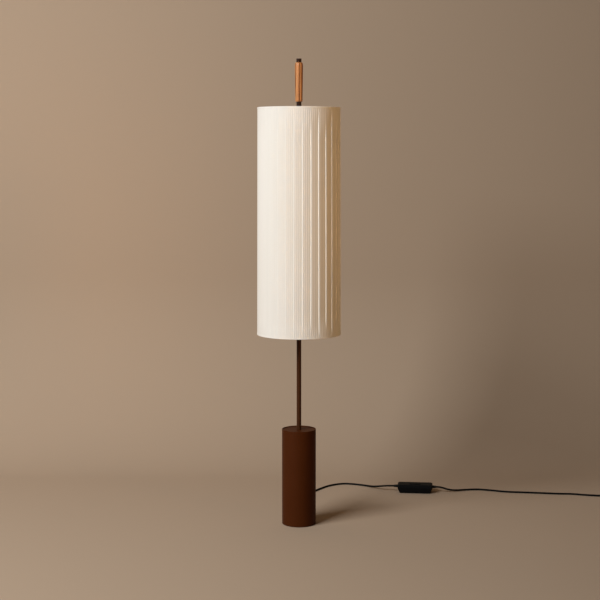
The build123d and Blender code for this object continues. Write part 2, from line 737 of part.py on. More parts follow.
with BuildPart() as foot_lead:
    with BuildSketch(Plane(origin=(0, TERMINAL_SIZE[1] / 2, GLAND_Z), z_dir=(0, 1, 0))):
        Circle(CORD_R)
    extrude(amount=GLAND_TIP_Y - TERMINAL_SIZE[1] / 2)

# Foot switch
BUTTON_TOP_Z = SWITCH_TOP_Z + BUTTON_PROUD
FLANGE_TOP_Z = SWITCH_TOP_Z - SWITCH_WALL - CORD_FIT
FLANGE_Z = FLANGE_TOP_Z - BUTTON_FLANGE_THICK
SWITCH_FLOOR_Z = SWITCH_FOOT_HEIGHT + SWITCH_WALL
MODULE_TOP_Z = SWITCH_FLOOR_Z + MODULE_SIZE[2]
STEM_LOW_Z = MODULE_TOP_Z - STEM_IN_BORE
MODULE_BORE_DEPTH = STEM_IN_BORE + BUTTON_TRAVEL + STEM_END_GAP
RELIEF_TIP_X = SWITCH_LENGTH / 2 + RELIEF_OUTSIDE
SHOULDER_LENGTH = SWITCH_LENGTH - 2 * SWITCH_SHOULDER_IN
SHOULDER_WIDTH = SWITCH_WIDTH - 4 * SWITCH_SHOULDER_IN
ROOF_LENGTH = SWITCH_TOP_LENGTH + SWITCH_ROOF_OUT
ROOF_WIDTH = SWITCH_TOP_WIDTH + SWITCH_ROOF_OUT


def switch_section(z, length, width, inset=0.0):
    """A rounded rectangle across the switch at one height."""
    with BuildSketch(SWITCH_PLANE.offset(z)) as made:
        RectangleRounded(length - 2 * inset, width - 2 * inset, SWITCH_CORNER_R - inset / 2)
    return made.sketch


def switch_bosses(radius, z):
    """Circles at the four screws, at one height."""
    with BuildSketch(SWITCH_PLANE.offset(z)) as made:
        with GridLocations(2 * SWITCH_BOSS_X, 2 * SWITCH_BOSS_Y, 2, 2):
            Circle(radius)
    return made.sketch


def end_plane(side, depth):
    """A plane across one end of the switch, at a depth from its end face, looking inwards."""
    face = SWITCH_PLANE.from_local_coords(Vector(side * SWITCH_LENGTH / 2, 0, SWITCH_SPLIT_Z))
    inward = SWITCH_PLANE.x_dir * -side
    return Plane(origin=face + inward * depth, z_dir=inward)


def cut_entries():
    """Bores through both ends of the piece being made, for the strain reliefs."""
    for side in (-1, 1):
        with BuildSketch(end_plane(side, -RELIEF_INSIDE / 2)) as bore:
            Circle(RELIEF_R + CORD_FIT)
        extrude(bore.sketch, amount=RELIEF_INSIDE, mode=Mode.SUBTRACT)


with BuildPart() as switch_lower_shell:
    loft([
        switch_section(SWITCH_FOOT_HEIGHT, SWITCH_SOLE_LENGTH, SWITCH_SOLE_WIDTH),
        switch_section(SWITCH_SPLIT_Z, SWITCH_LENGTH, SWITCH_WIDTH),
    ])
    loft([
        switch_section(SWITCH_FLOOR_Z, SWITCH_SOLE_LENGTH, SWITCH_SOLE_WIDTH, SWITCH_WALL),
        switch_section(SWITCH_SPLIT_Z, SWITCH_LENGTH, SWITCH_WIDTH, SWITCH_WALL),
    ], mode=Mode.SUBTRACT)
    extrude(switch_bosses(SWITCH_BOSS_R, SWITCH_FLOOR_Z), amount=SWITCH_SPLIT_Z - SWITCH_FLOOR_Z)
    extrude(
        switch_bosses(SWITCH_SCREW_R + CORD_FIT, SWITCH_FOOT_HEIGHT),
        amount=SWITCH_SPLIT_Z,
        mode=Mode.SUBTRACT,
    )
    extrude(
        switch_bosses(SWITCH_SCREW_HEAD_R + CORD_FIT, SWITCH_FOOT_HEIGHT),
        amount=SWITCH_WALL,
        mode=Mode.SUBTRACT,
    )
    cut_entries()

with BuildPart() as switch_upper_shell:
    loft([
        switch_section(SWITCH_SPLIT_Z, SWITCH_LENGTH, SWITCH_WIDTH),
        switch_section(SWITCH_SHOULDER_Z, SHOULDER_LENGTH, SHOULDER_WIDTH),
    ])
    loft([
        switch_section(SWITCH_SHOULDER_Z, SHOULDER_LENGTH, SHOULDER_WIDTH),
        switch_section(SWITCH_TOP_Z, SWITCH_TOP_LENGTH, SWITCH_TOP_WIDTH),
    ])
    loft([
        switch_section(SWITCH_SPLIT_Z, SWITCH_LENGTH, SWITCH_WIDTH, SWITCH_WALL),
        switch_section(SWITCH_TOP_Z - SWITCH_WALL, ROOF_LENGTH, ROOF_WIDTH, SWITCH_WALL),
    ], mode=Mode.SUBTRACT)
    extrude(
        switch_bosses(SWITCH_BOSS_R, SWITCH_SPLIT_Z),
        amount=SWITCH_TOP_Z - SWITCH_WALL - SWITCH_SPLIT_Z,
    )
    extrude(
        switch_bosses(SWITCH_SCREW_R + CORD_FIT, SWITCH_SPLIT_Z),
        amount=SWITCH_SCREW_LENGTH + SWITCH_FOOT_HEIGHT + CUT_PAST - SWITCH_SPLIT_Z,
        mode=Mode.SUBTRACT,
    )
    with BuildSketch(SWITCH_PLANE.offset(SWITCH_TOP_Z - 2 * SWITCH_WALL)):
        RectangleRounded(
            BUTTON_LENGTH + 2 * BUTTON_GAP, BUTTON_WIDTH + 2 * BUTTON_GAP, BUTTON_CORNER_R + BUTTON_GAP
        )
    extrude(amount=3 * SWITCH_WALL, mode=Mode.SUBTRACT)
    cut_entries()

with BuildPart() as switch_button:
    with BuildSketch(SWITCH_PLANE.offset(FLANGE_Z)):
        RectangleRounded(BUTTON_LENGTH, BUTTON_WIDTH, BUTTON_CORNER_R)
    extrude(amount=BUTTON_TOP_Z - FLANGE_Z)
    fillet(switch_button.edges().group_by(Axis.Z)[-1], BUTTON_EDGE)
    with BuildSketch(SWITCH_PLANE.offset(FLANGE_Z)):
        RectangleRounded(
            BUTTON_LENGTH + 2 * BUTTON_FLANGE, BUTTON_WIDTH + 2 * BUTTON_FLANGE, BUTTON_CORNER_R
        )
    extrude(amount=BUTTON_FLANGE_THICK)
    with BuildSketch(SWITCH_PLANE.offset(STEM_LOW_Z)):
        Circle(BUTTON_STEM_R)
    extrude(amount=FLANGE_Z - STEM_LOW_Z)

with BuildPart() as switch_module:
    with BuildSketch(SWITCH_PLANE.offset(SWITCH_FLOOR_Z)):
        Rectangle(MODULE_SIZE[0], MODULE_SIZE[1])
    extrude(amount=MODULE_SIZE[2])
    with BuildSketch(SWITCH_PLANE.offset(MODULE_TOP_Z)):
        Circle(BUTTON_STEM_R + BUTTON_GAP)
    extrude(amount=-MODULE_BORE_DEPTH, mode=Mode.SUBTRACT)

with BuildPart() as switch_screws:
    extrude(switch_bosses(SWITCH_SCREW_R, SWITCH_FOOT_HEIGHT), amount=SWITCH_SCREW_LENGTH)
    extrude(switch_bosses(SWITCH_SCREW_HEAD_R, SWITCH_FOOT_HEIGHT), amount=SWITCH_WALL - CORD_FIT)

with BuildPart() as switch_feet:
    with BuildSketch(SWITCH_PLANE):
        with GridLocations(2 * SWITCH_FEET_X, 2 * SWITCH_BOSS_Y, 2, 2):
            Circle(SWITCH_FOOT_R)
    extrude(amount=SWITCH_FOOT_HEIGHT)

with BuildPart() as switch_reliefs:
    for side in (-1, 1):
        with BuildSketch(end_plane(side, 0)):
            Circle(RELIEF_R)
        extrude(amount=RELIEF_INSIDE)
        with BuildSketch(end_plane(side, -RELIEF_OUTSIDE)):
            Circle(RELIEF_NOSE_R)
        with BuildSketch(end_plane(side, 0)):
            Circle(RELIEF_R)
        loft()
        with BuildSketch(end_plane(side, RELIEF_FLANGE_AT)):
            Circle(RELIEF_FLANGE_R)
        extrude(amount=RELIEF_FLANGE_THICK)
        with BuildSketch(end_plane(side, -RELIEF_OUTSIDE)):
            Circle(CORD_R + CORD_FIT)
        extrude(amount=RELIEF_OUTSIDE + RELIEF_INSIDE, mode=Mode.SUBTRACT)

with BuildPart() as switch_leads:
    module_side = MODULE_SIZE[0] / 2
    lead_z = SWITCH_FLOOR_Z + MODULE_SIZE[2] / 2
    for side in (-1, 1):
        corners = [
            (side * RELIEF_TIP_X, 0, SWITCH_SPLIT_Z),
            (side * (module_side + LEAD_HIGH_RUN), 0, SWITCH_SPLIT_Z),
            (side * (module_side + LEAD_LOW_RUN), 0, lead_z),
            (side * module_side, 0, lead_z),
        ]
        route = [SWITCH_PLANE.from_local_coords(Vector(*corner)) for corner in corners]
        with BuildLine():
            FilletPolyline(*route, radius=LEAD_BEND_R)
        with BuildSketch(Plane(origin=route[0], z_dir=route[1] - route[0])):
            Circle(CORD_R)
        sweep()


# Mains cord: straight runs joined by arcs
def corner_radii(route):
    """An arc for each corner: a share of the shorter run over the tangent of half the turn."""
    radii = []
    for before, corner, after in zip(route, route[1:], route[2:]):
        runs = (corner - before, after - corner)
        turn = math.radians(runs[0].get_angle(runs[1]))
        radii.append(CORD_BEND_SHARE * min(run.length for run in runs) / math.tan(turn / 2))
    return radii


def cord_tube(name, route):
    """A round cord along a route, with its radii and its volume against section times length."""
    route = [Vector(*point) for point in route]
    radii = corner_radii(route)
    with BuildPart() as made:
        with BuildLine() as path:
            FilletPolyline(*route, radius=radii)
        with BuildSketch(Plane(origin=route[0], z_dir=route[1] - route[0])):
            Circle(CORD_R)
        sweep()
    length = path.wire().length
    share = made.part.volume / (math.pi * CORD_R**2 * length)
    print(name, "length", round(length, 1), "least radius", round(min(radii), 1), end=" ")
    print("runs", [round((b - a).length) for a, b in zip(route, route[1:])], "volume", round(share, 4))
    return made


def switch_point(x, z):
    """A point of the switch's middle plane."""
    point = SWITCH_PLANE.from_local_coords(Vector(x, 0, z))
    return (point.X, point.Y, point.Z)


FLOOR_Z = CORD_R
FIRST_ROUTE = [
    (0, GLAND_TIP_Y, GLAND_Z),
    (0, GLAND_TIP_Y + 26, GLAND_Z),
    (2, 146, 6),
    (8, 190, FLOOR_Z),
    (10, 240, FLOOR_Z),
    (19, 300, FLOOR_Z),
    (31, 356, FLOOR_Z),
    (50, 408, FLOOR_Z),
    (78, 453, FLOOR_Z),
    (108, 497, FLOOR_Z),
    (160, 530, FLOOR_Z),
    (205, 517, FLOOR_Z),
    (243, 497, FLOOR_Z),
    (266, 471, 6),
    (288, 444, 13.5),
    switch_point(-RELIEF_TIP_X - 28, SWITCH_SPLIT_Z),
    switch_point(-RELIEF_TIP_X, SWITCH_SPLIT_Z),
]
cord_from_foot = cord_tube("cord_from_foot", FIRST_ROUTE)


def coil_place(angle):
    """A point of the coil and its direction, by the angle wound since it starts, in degrees."""
    half = COIL_CLIMB / 2
    middle = COIL_WIND_IN + half
    rate = COIL_STEP / 360
    radius = COIL_OUTER_R - rate * (middle - abs(angle - middle))
    slope = 0.0 if angle == middle else math.copysign(rate, angle - middle) * 180 / math.pi
    climb = min(max((angle - COIL_WIND_IN) / COIL_CLIMB, 0.0), 1.0)
    height = LAYER_Z + COIL_STEP * (1 - math.cos(math.pi * climb)) / 2
    rise = COIL_STEP * math.sin(math.pi * climb) / 2 * 180 / COIL_CLIMB
    round_angle = math.radians(COIL_START_ANGLE + angle)
    outward = Vector(math.cos(round_angle), math.sin(round_angle), 0)
    onward = Vector(-outward.Y, outward.X, 0)
    point = COIL_CENTRE + outward * radius + Vector(0, 0, height)
    return point, (outward * slope + onward * radius + Vector(0, 0, rise)).normalized()


COIL_CENTRE = Vector(COIL_START_X, COIL_START_Y, 0) - Vector(COIL_OUTER_R, 0, 0).rotate(
    Axis.Z, COIL_START_ANGLE
)
COIL_TURN = 2 * COIL_WIND_IN + COIL_CLIMB
coil_angles = [COIL_WIND_IN * i / COIL_QUARTERS_IN for i in range(COIL_QUARTERS_IN)]
coil_angles += [COIL_WIND_IN, COIL_WIND_IN + COIL_CLIMB / 2]
coil_angles += [COIL_TURN - angle for angle in coil_angles[COIL_QUARTERS_IN::-1]]


def biarc(start, start_way, end, end_way):
    """Two arcs that join two points, each arc tangent to the direction at its own end."""
    chord = end - start
    ways = start_way + end_way
    bend = 2 * (1 - start_way.dot(end_way))
    along = chord.dot(ways)
    reach = (math.sqrt(along**2 + bend * chord.dot(chord)) - along) / bend
    first_corner = start + start_way * reach
    last_corner = end - end_way * reach
    joint = (first_corner + last_corner) * 0.5
    for a, corner, b in ((start, first_corner, joint), (joint, last_corner, end)):
        middle = (a + b) * 0.5
        bow = (corner - middle).length
        half_chord = (b - a).length / 2
        sagitta = half_chord * math.tan(math.atan(bow / half_chord) / 2)
        ThreePointArc(a, middle + (corner - middle) * (sagitta / bow), b)


COIL_START, COIL_START_WAY = coil_place(0)
COIL_END, COIL_END_WAY = coil_place(COIL_TURN)
COIL_IN = COIL_START - COIL_START_WAY * 2 * CORD_R
COIL_OUT = COIL_END + COIL_END_WAY * 2 * CORD_R

SECOND_ROUTE = [
    switch_point(RELIEF_TIP_X, SWITCH_SPLIT_Z),
    switch_point(RELIEF_TIP_X + 16, SWITCH_SPLIT_Z),
    (528, 405, 12),
    (553, 414, 6),
    (590, 433, FLOOR_Z),
    (640, 443, FLOOR_Z),
    (690, 425, FLOOR_Z),
    (735, 404, FLOOR_Z),
    (800, 396, FLOOR_Z),
    (868, 385, FLOOR_Z),
    (920, 376, FLOOR_Z),
    (966, 375, FLOOR_Z),
    (1010, 358, FLOOR_Z),
    COIL_IN - COIL_START_WAY * COIL_LEAD_IN,
    COIL_IN,
]
cord_to_coil = cord_tube("cord_to_coil", SECOND_ROUTE)

with BuildPart() as cord_coil:
    with BuildLine() as coil_path:
        Line(COIL_IN, COIL_START)
        for near, far in zip(coil_angles, coil_angles[1:]):
            biarc(*coil_place(near), *coil_place(far))
        Line(COIL_END, COIL_OUT)
    with BuildSketch(Plane(origin=COIL_IN, z_dir=COIL_START_WAY)):
        Circle(CORD_R)
    sweep()


def least_gap(samples):
    """The least gap between parts of the coil that lie over a quarter turn apart."""
    points = [coil_path.wire() @ (i / samples) for i in range(samples + 1)]
    skip = samples * 90 // int(COIL_TURN)
    least = min(
        (points[i] - points[j]).length
        for i in range(samples)
        for j in range(i + skip, samples + 1)
    )
    return least - 2 * CORD_R


coil_share = cord_coil.part.volume / (math.pi * CORD_R**2 * coil_path.wire().length)
print("coil length", round(coil_path.wire().length, 1), "volume", round(coil_share, 4), end=" ")
print("least gap", round(least_gap(900), 3))

with BuildPart() as coil_tie:
    tie_turn = math.radians(TIE_ANGLE)
    tie_out = Vector(math.cos(tie_turn), math.sin(tie_turn), 0)
    bundle_in = COIL_OUTER_R - COIL_STEP * (COIL_WIND_IN + COIL_CLIMB / 2) / 360 - CORD_R
    bundle_out = COIL_OUTER_R + CORD_R
    bundle_top = UPPER_LAYER_Z + CORD_R
    tie_inside = (bundle_out - bundle_in + 2 * TIE_SLACK, bundle_top - TIE_THICK + TIE_SLACK)
    tie_middle = Vector(0, 0, TIE_THICK + tie_inside[1] / 2) + COIL_CENTRE
    tie_middle += tie_out * ((bundle_in + bundle_out) / 2)
    with BuildSketch(Plane(origin=tie_middle, x_dir=tie_out, z_dir=tie_out.cross(Vector(0, 0, 1)))):
        RectangleRounded(tie_inside[0] + 2 * TIE_THICK, tie_inside[1] + 2 * TIE_THICK, TIE_CORNER_R)
        RectangleRounded(*tie_inside, TIE_CORNER_R - TIE_THICK, mode=Mode.SUBTRACT)
    extrude(amount=TIE_WIDTH / 2, both=True)

# Plug: boot, body and two round pins, in line with the coil's end
PLUG_WAY = COIL_END_WAY
PLUG_THICK = 2 * UPPER_LAYER_Z
PLUG_SIDE = PLUG_WAY.cross(Vector(0, 0, 1))
PLUG_NECK_WIDTH = PLUG_WIDTH * PLUG_NECK_WIDTH_SHARE
PLUG_NECK_THICK = PLUG_THICK * PLUG_NECK_HEIGHT_SHARE


def plug_plane(along):
    """A plane across the plug, at a distance from the coil's end."""
    return Plane(origin=COIL_OUT + PLUG_WAY * along, x_dir=PLUG_SIDE, z_dir=PLUG_WAY)


with BuildPart() as plug_boot:
    with BuildSketch(plug_plane(0)):
        Circle(PLUG_BOOT_NOSE_R)
    with BuildSketch(plug_plane(PLUG_BOOT_LENGTH)):
        Circle(PLUG_BOOT_R)
    loft()

with BuildPart() as plug_body:
    with BuildSketch(plug_plane(PLUG_BOOT_LENGTH)):
        RectangleRounded(PLUG_NECK_WIDTH, PLUG_NECK_THICK, PLUG_CORNER_R)
    with BuildSketch(plug_plane(PLUG_BOOT_LENGTH + PLUG_LENGTH / 2)):
        RectangleRounded(PLUG_WIDTH, PLUG_THICK, PLUG_CORNER_R)
    loft()
    with BuildSketch(plug_plane(PLUG_BOOT_LENGTH + PLUG_LENGTH / 2)):
        RectangleRounded(PLUG_WIDTH, PLUG_THICK, PLUG_CORNER_R)
    extrude(amount=PLUG_LENGTH / 2)
    with BuildSketch(plug_plane(PLUG_BOOT_LENGTH + PLUG_LENGTH - PIN_ROOT)):
        with GridLocations(PIN_SPACING, 0, 2, 1):
            Circle(PIN_R + CORD_FIT)
    extrude(amount=PIN_ROOT + CUT_PAST, mode=Mode.SUBTRACT)

with BuildPart() as plug_pins:
    with BuildSketch(plug_plane(PLUG_BOOT_LENGTH + PLUG_LENGTH - PIN_ROOT)):
        with GridLocations(PIN_SPACING, 0, 2, 1):
            Circle(PIN_R)
    extrude(amount=PIN_ROOT + PIN_LENGTH)
    fillet(plug_pins.faces().sort_by(Axis(COIL_OUT, PLUG_WAY))[-2:].edges(), PIN_R / 2)

pieces = {
    "foot_pad": foot_pad,
    "bottom_plate": bottom_plate,
    "bottom_plate_screws": bottom_plate_screws,
    "ballast": ballast,
    "foot_tube": foot_tube,
    "foot_top_plate": foot_top_plate,
    "cord_gland": cord_gland,
    "gland_nut": gland_nut,
    "terminal_block": terminal_block,
    "foot_lead": foot_lead,
    "pole": pole,
    "pole_washer": pole_washer,
    "pole_nut": pole_nut,
    "pole_top_insert": pole_top_insert,
    "pole_lead": pole_lead,
    "clamp_rod": clamp_rod,
    "grip_collar": grip_collar,
    "grip": grip,
    "grip_cap": grip_cap,
    "shade_spider": shade_spider,
    "shade_top_ring": shade_top_ring,
    "shade_bottom_ring": shade_bottom_ring,
    "shade_liner": shade_liner,
    "shade_pleats": shade_pleats,
    "shade_top_trim": shade_top_trim,
    "shade_bottom_trim": shade_bottom_trim,
    "arm_clamp_screws": clamp_screws(),
    "switch_lower_shell": switch_lower_shell,
    "switch_upper_shell": switch_upper_shell,
    "switch_button": switch_button,
    "switch_module": switch_module,
    "switch_screws": switch_screws,
    "switch_feet": switch_feet,
    "switch_reliefs": switch_reliefs,
    "switch_leads": switch_leads,
    "cord_from_foot": cord_from_foot,
    "cord_to_coil": cord_to_coil,
    "cord_coil": cord_coil,
    "coil_tie": coil_tie,
    "plug_boot": plug_boot,
    "plug_body": plug_body,
    "plug_pins": plug_pins,
}
for place, arm_z, side in (("lower", LOWER_ARM_Z, 1), ("upper", UPPER_ARM_Z, -1)):
    pieces[f"{place}_arm_clamp"] = arm_clamp(arm_z, side)
    pieces[f"{place}_arm"] = lamp_arm(arm_z, side)
    pieces[f"{place}_lampholder"] = lampholder(arm_z, side)
    pieces[f"{place}_lampholder_sleeve"] = lampholder_sleeve(arm_z, side)
    pieces[f"{place}_lampholder_contact"] = lampholder_contact(arm_z, side)
    pieces[f"{place}_bulb_cap"] = bulb_cap(arm_z, side)
    pieces[f"{place}_bulb_glass"] = bulb_glass(arm_z, side)
    pieces[f"{place}_bulb_filament"] = bulb_filament(arm_z, side)
    pieces[f"{place}_arm_lead"] = arm_lead(arm_z, side)

for name, piece in pieces.items():
    piece.part.label = name
    export_step(piece.part, f"parts/{name}.step")
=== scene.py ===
"""Looks of the pleated shade floor lamp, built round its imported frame.

Lengths are in metres, or in millimetres where a heading says so.

The lamp stands on z = 0 with its pole on the z axis. The viewer stands at -y, and the mains cord
leaves the foot at the back, turns to +x and runs through a foot switch to its plug.
"""
import math

import bmesh
import bpy
import numpy as np
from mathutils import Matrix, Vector


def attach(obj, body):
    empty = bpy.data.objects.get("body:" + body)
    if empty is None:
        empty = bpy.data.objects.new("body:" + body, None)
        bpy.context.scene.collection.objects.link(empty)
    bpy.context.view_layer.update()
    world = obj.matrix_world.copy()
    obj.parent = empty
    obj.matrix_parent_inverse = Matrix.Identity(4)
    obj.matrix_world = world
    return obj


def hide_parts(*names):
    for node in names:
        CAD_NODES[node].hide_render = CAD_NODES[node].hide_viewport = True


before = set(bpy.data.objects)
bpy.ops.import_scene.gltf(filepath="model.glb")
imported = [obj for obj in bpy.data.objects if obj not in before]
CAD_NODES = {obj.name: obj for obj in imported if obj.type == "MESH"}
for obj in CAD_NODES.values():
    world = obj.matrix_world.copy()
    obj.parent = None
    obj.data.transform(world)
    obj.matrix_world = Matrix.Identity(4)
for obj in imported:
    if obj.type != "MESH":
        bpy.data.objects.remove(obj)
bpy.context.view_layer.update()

MM = 0.001
TAU = 2 * math.pi


# Camera and lamps
def set_camera():
    """The photograph's view: a long lens at chest height, pitched slightly down."""
    data = bpy.data.cameras.new("camera")
    data.lens = 83.0
    data.sensor_width = 36.0
    data.clip_end = 40.0
    camera = bpy.data.objects.new("camera", data)
    camera.location = (0.0034, -4.4205, 1.2127)
    camera.rotation_euler = (math.radians(90 - 6.18), 0, 0)
    bpy.context.scene.collection.objects.link(camera)
    bpy.context.scene.camera = camera


def soft_lamp(name, place, target, width, height, watts, colour, spread=180):
    """A rectangular studio lamp that looks at a target."""
    data = bpy.data.lights.new(name, "AREA")
    data.shape = "RECTANGLE"
    data.size = width
    data.size_y = height
    data.energy = watts
    data.color = colour
    data.spread = math.radians(spread)
    lamp = bpy.data.objects.new(name, data)
    lamp.location = place
    way = Vector(target) - Vector(place)
    lamp.rotation_euler = way.to_track_quat("-Z", "Y").to_euler()
    bpy.context.scene.collection.objects.link(lamp)


# Ways to make a finish
class Value:
    """A socket of a finish's nodes. Arithmetic on it adds Math nodes."""

    def __init__(self, finish, socket):
        self.finish = finish
        self.socket = socket

    def math(self, operation, *terms):
        """A Math node on these terms."""
        return self.finish.node("Math", {"operation": operation}, dict(enumerate(terms)))

    def __add__(self, other):
        return self.math("ADD", self, other)

    def __sub__(self, other):
        return self.math("SUBTRACT", self, other)

    def __rsub__(self, other):
        return self.math("SUBTRACT", other, self)

    def __mul__(self, other):
        return self.math("MULTIPLY", self, other)

    def __pow__(self, other):
        return self.math("POWER", self, other)

    __radd__ = __add__
    __rmul__ = __mul__

    def wave(self):
        """The sine, brought to 0..1."""
        return self.math("SINE", self) * 0.5 + 0.5

    def between(self, low, high):
        """0 below low, 1 above high, and straight in between."""
        return self.finish.node(
            "MapRange", {"clamp": True}, {"Value": self, "From Min": low, "From Max": high}
        )


class Finish:
    """A material under way, with the calls that add its nodes."""

    def __init__(self, name):
        self.material = bpy.data.materials.new(name)
        self.material.use_nodes = True
        self.tree = self.material.node_tree
        self.shader = self.tree.nodes["Principled BSDF"]

    def node(self, kind, settings, values, out=0):
        """Any shader node: its settings are set first, then its sockets' values or links."""
        made = self.tree.nodes.new("ShaderNode" + kind)
        for key, setting in settings.items():
            if key == "stops":
                ramp = made.color_ramp
                for place, colour in setting[1:-1]:
                    ramp.elements.new(place)
                for element, (place, colour) in zip(ramp.elements, setting):
                    element.position = place
                    element.color = (*colour, 1.0)
            else:
                setattr(made, key, setting)
        for key, value in values.items():
            if isinstance(value, Value):
                self.tree.links.new(value.socket, made.inputs[key])
            elif made.inputs[key].type == "RGBA":
                made.inputs[key].default_value = (*value, 1.0)
            else:
                made.inputs[key].default_value = value
        return Value(self, made.outputs[out])

    def place(self, source="Object", scale=(1, 1, 1)):
        """Object or UV coordinates, scaled."""
        coordinates = self.node("TexCoord", {}, {}, source)
        return self.node("Mapping", {}, {"Vector": coordinates, "Scale": scale})

    def part(self, vector, axis):
        """One component of a vector: 0, 1 or 2."""
        return self.node("SeparateXYZ", {}, {0: vector}, axis)

    def noise(self, vector, scale, detail=3.0, roughness=0.5):
        """A soft noise from 0 to 1."""
        values = {"Vector": vector, "Scale": scale, "Detail": detail, "Roughness": roughness}
        return self.node("TexNoise", {}, values)

    def mix(self, share, first, second):
        """A colour between two colours."""
        return self.node("Mix", {"data_type": "RGBA"}, {0: share, 6: first, 7: second}, 2)

    def bump(self, height, distance, strength):
        """The normal of a surface raised by height times distance, in metres."""
        return self.node("Bump", {}, {"Height": height, "Distance": distance, "Strength": strength})

    def dress(self, **sockets):
        """Sets or links the shader's sockets, named with _ for a space."""
        for key, value in sockets.items():
            socket = self.shader.inputs[key.replace("_", " ")]
            if isinstance(value, Value):
                self.tree.links.new(value.socket, socket)
            elif isinstance(value, tuple):
                socket.default_value = (*value, 1.0)
            else:
                socket.default_value = value
        return self.material


# Finishes
def backdrop_paper():
    """Seamless pale studio paper, clear when seen from its back, so that it hides no view."""
    made = Finish("backdrop_paper")
    grain = made.noise(made.place(), 900.0)
    base = made.mix(grain, (0.448, 0.329, 0.221), (0.473, 0.348, 0.236))
    made.dress(Base_Color=base, Roughness=0.95, Specular_IOR_Level=0.1)
    behind = made.node("NewGeometry", {}, {}, "Backfacing")
    clear = made.node("BsdfTransparent", {}, {})
    front = Value(made, made.shader.outputs["BSDF"])
    both = made.node("MixShader", {}, {0: behind, 1: front, 2: clear})
    made.tree.links.new(both.socket, made.tree.nodes["Material Output"].inputs["Surface"])
    return made.material


def pleated_cotton(name, tone=1.0):
    """Cream cotton with a plain weave along the UV map, whose unit is a metre."""
    made = Finish(name)
    threads = made.place("UV")
    across = made.part(threads, 0)
    along = made.part(threads, 1)
    warp_pitch = 0.0011
    weft_pitch = 0.0009
    warp = (across * (TAU / warp_pitch)).wave()
    weft = (along * (TAU / weft_pitch)).wave()
    slub = made.noise(made.place("UV", (40, 900, 1)), 1.0, 2.0)
    stripe = made.noise(made.place("UV", (600, 4, 1)), 1.0, 2.0)
    cloud = made.noise(made.place("Object", (1, 1, 0.3)), 9.0, 3.0)
    shade = (slub * 0.35 + stripe * 0.35 + cloud * 0.3).between(0.3, 0.7)
    light = (0.84 * tone, 0.79 * tone, 0.69 * tone)
    dark = (0.80 * tone, 0.74 * tone, 0.62 * tone)
    base = made.mix(shade, dark, light)
    weave = warp * 0.5 + weft * 0.5 + slub * 0.6
    return made.dress(
        Base_Color=base,
        Roughness=made.noise(threads, 300.0).between(0.2, 0.8) * 0.1 + 0.82,
        Normal=made.bump(weave, 0.00012, 0.5),
        Specular_IOR_Level=0.25,
        Sheen_Weight=0.15,
        Sheen_Roughness=0.5,
    )


def liner_film():
    """The white backing film of the shade, faintly streaked."""
    made = Finish("liner_film")
    streak = made.noise(made.place("Object", (1, 1, 0.1)), 60.0)
    base = made.mix(streak, (0.74, 0.70, 0.63), (0.80, 0.765, 0.70))
    return made.dress(
        Base_Color=base,
        Roughness=streak * 0.15 + 0.5,
        Normal=made.bump(made.noise(made.place(), 1400.0), 0.00005, 0.4),
    )


def satin_paint(name, low, high, rough, gloss=0.3):
    """Satin powder coat: fine orange peel, faint clouds, and slight changes of gloss."""
    made = Finish(name)
    cloud = made.noise(made.place(), 14.0, 4.0)
    peel = made.noise(made.place(), 1500.0, 2.0)
    speck = made.noise(made.place(), 600.0, 4.0, 0.7).between(0.35, 0.75)
    base = made.mix((cloud * 0.6 + speck * 0.4).between(0.25, 0.75), low, high)
    return made.dress(
        Base_Color=base,
        Roughness=(cloud.between(0.3, 0.7) * 0.06 + speck * 0.06) + rough,
        Normal=made.bump(peel, 0.00006, 0.5),
        Specular_IOR_Level=gloss,
    )


def turned_wood():
    """Oiled hardwood with its grain along the grip: layers, streaks, dark veins, short pores. One dark vein
    runs down the front. The other is set along the right side, toward +x, as painted shade.
    """
    made = Finish("turned_wood")
    spot = made.place()
    across = made.part(spot, 0)
    deep = made.part(spot, 1)
    drift = made.noise(made.place("Object", (1, 1, 0.10)), 45.0, 2.0) - 0.5
    fine_drift = made.noise(made.place("Object", (1, 1, 0.25)), 160.0, 2.0) - 0.5
    ring_width = 0.0029
    # The spacing and phase put one dark vein down the grip's front and one along its right side, toward +x,
    # where it is painted shade.
    vein_and_shade_spacing = 0.0115
    vein_and_shade_phase = 3.27
    layer = across + deep * 0.35 + drift * 0.0045 + fine_drift * 0.0009
    ring = (layer * (TAU / ring_width)).wave()
    streak = made.noise(made.place("Object", (1, 1, 0.03)), 520.0, 4.0, 0.65)
    pore = made.noise(made.place("Object", (1, 1, 0.025)), 1700.0, 2.0).between(0.60, 0.72)
    # The right-hand vein darkens the grip's shaded side: painted shade.
    vein_and_shade = (layer * (TAU / vein_and_shade_spacing) + vein_and_shade_phase).wave() ** 8
    tone = (ring * 0.35 + streak * 0.65).between(0.22, 0.72) - vein_and_shade * 0.9
    stops = [(0.0, (0.13, 0.033, 0.007)), (0.5, (0.55, 0.205, 0.058)), (1.0, (0.78, 0.37, 0.138))]
    base = made.node("ValToRGB", {"stops": stops}, {0: tone})
    base = made.mix(pore * 0.5, base, (0.12, 0.034, 0.010))
    return made.dress(
        Base_Color=base,
        Roughness=0.42 - tone * 0.1 + pore * 0.2,
        Normal=made.bump(streak * 0.5 - pore, 0.00015, 0.5),
        Specular_IOR_Level=0.3,
    )


def moulded(name, low, high, rough, grain=2200.0, gloss=0.5):
    """Moulded plastic or rubber with a fine spark-eroded grain and faint flow marks."""
    made = Finish(name)
    texture = made.noise(made.place(), grain, 3.0, 0.6)
    flow = made.noise(made.place("Object", (1, 0.3, 1)), 40.0, 2.0)
    return made.dress(
        Base_Color=made.mix((flow * 0.5 + texture * 0.5).between(0.3, 0.7), low, high),
        Roughness=texture * 0.12 + flow * 0.08 + rough,
        Normal=made.bump(texture, 0.00005, 0.6),
        Specular_IOR_Level=gloss,
    )


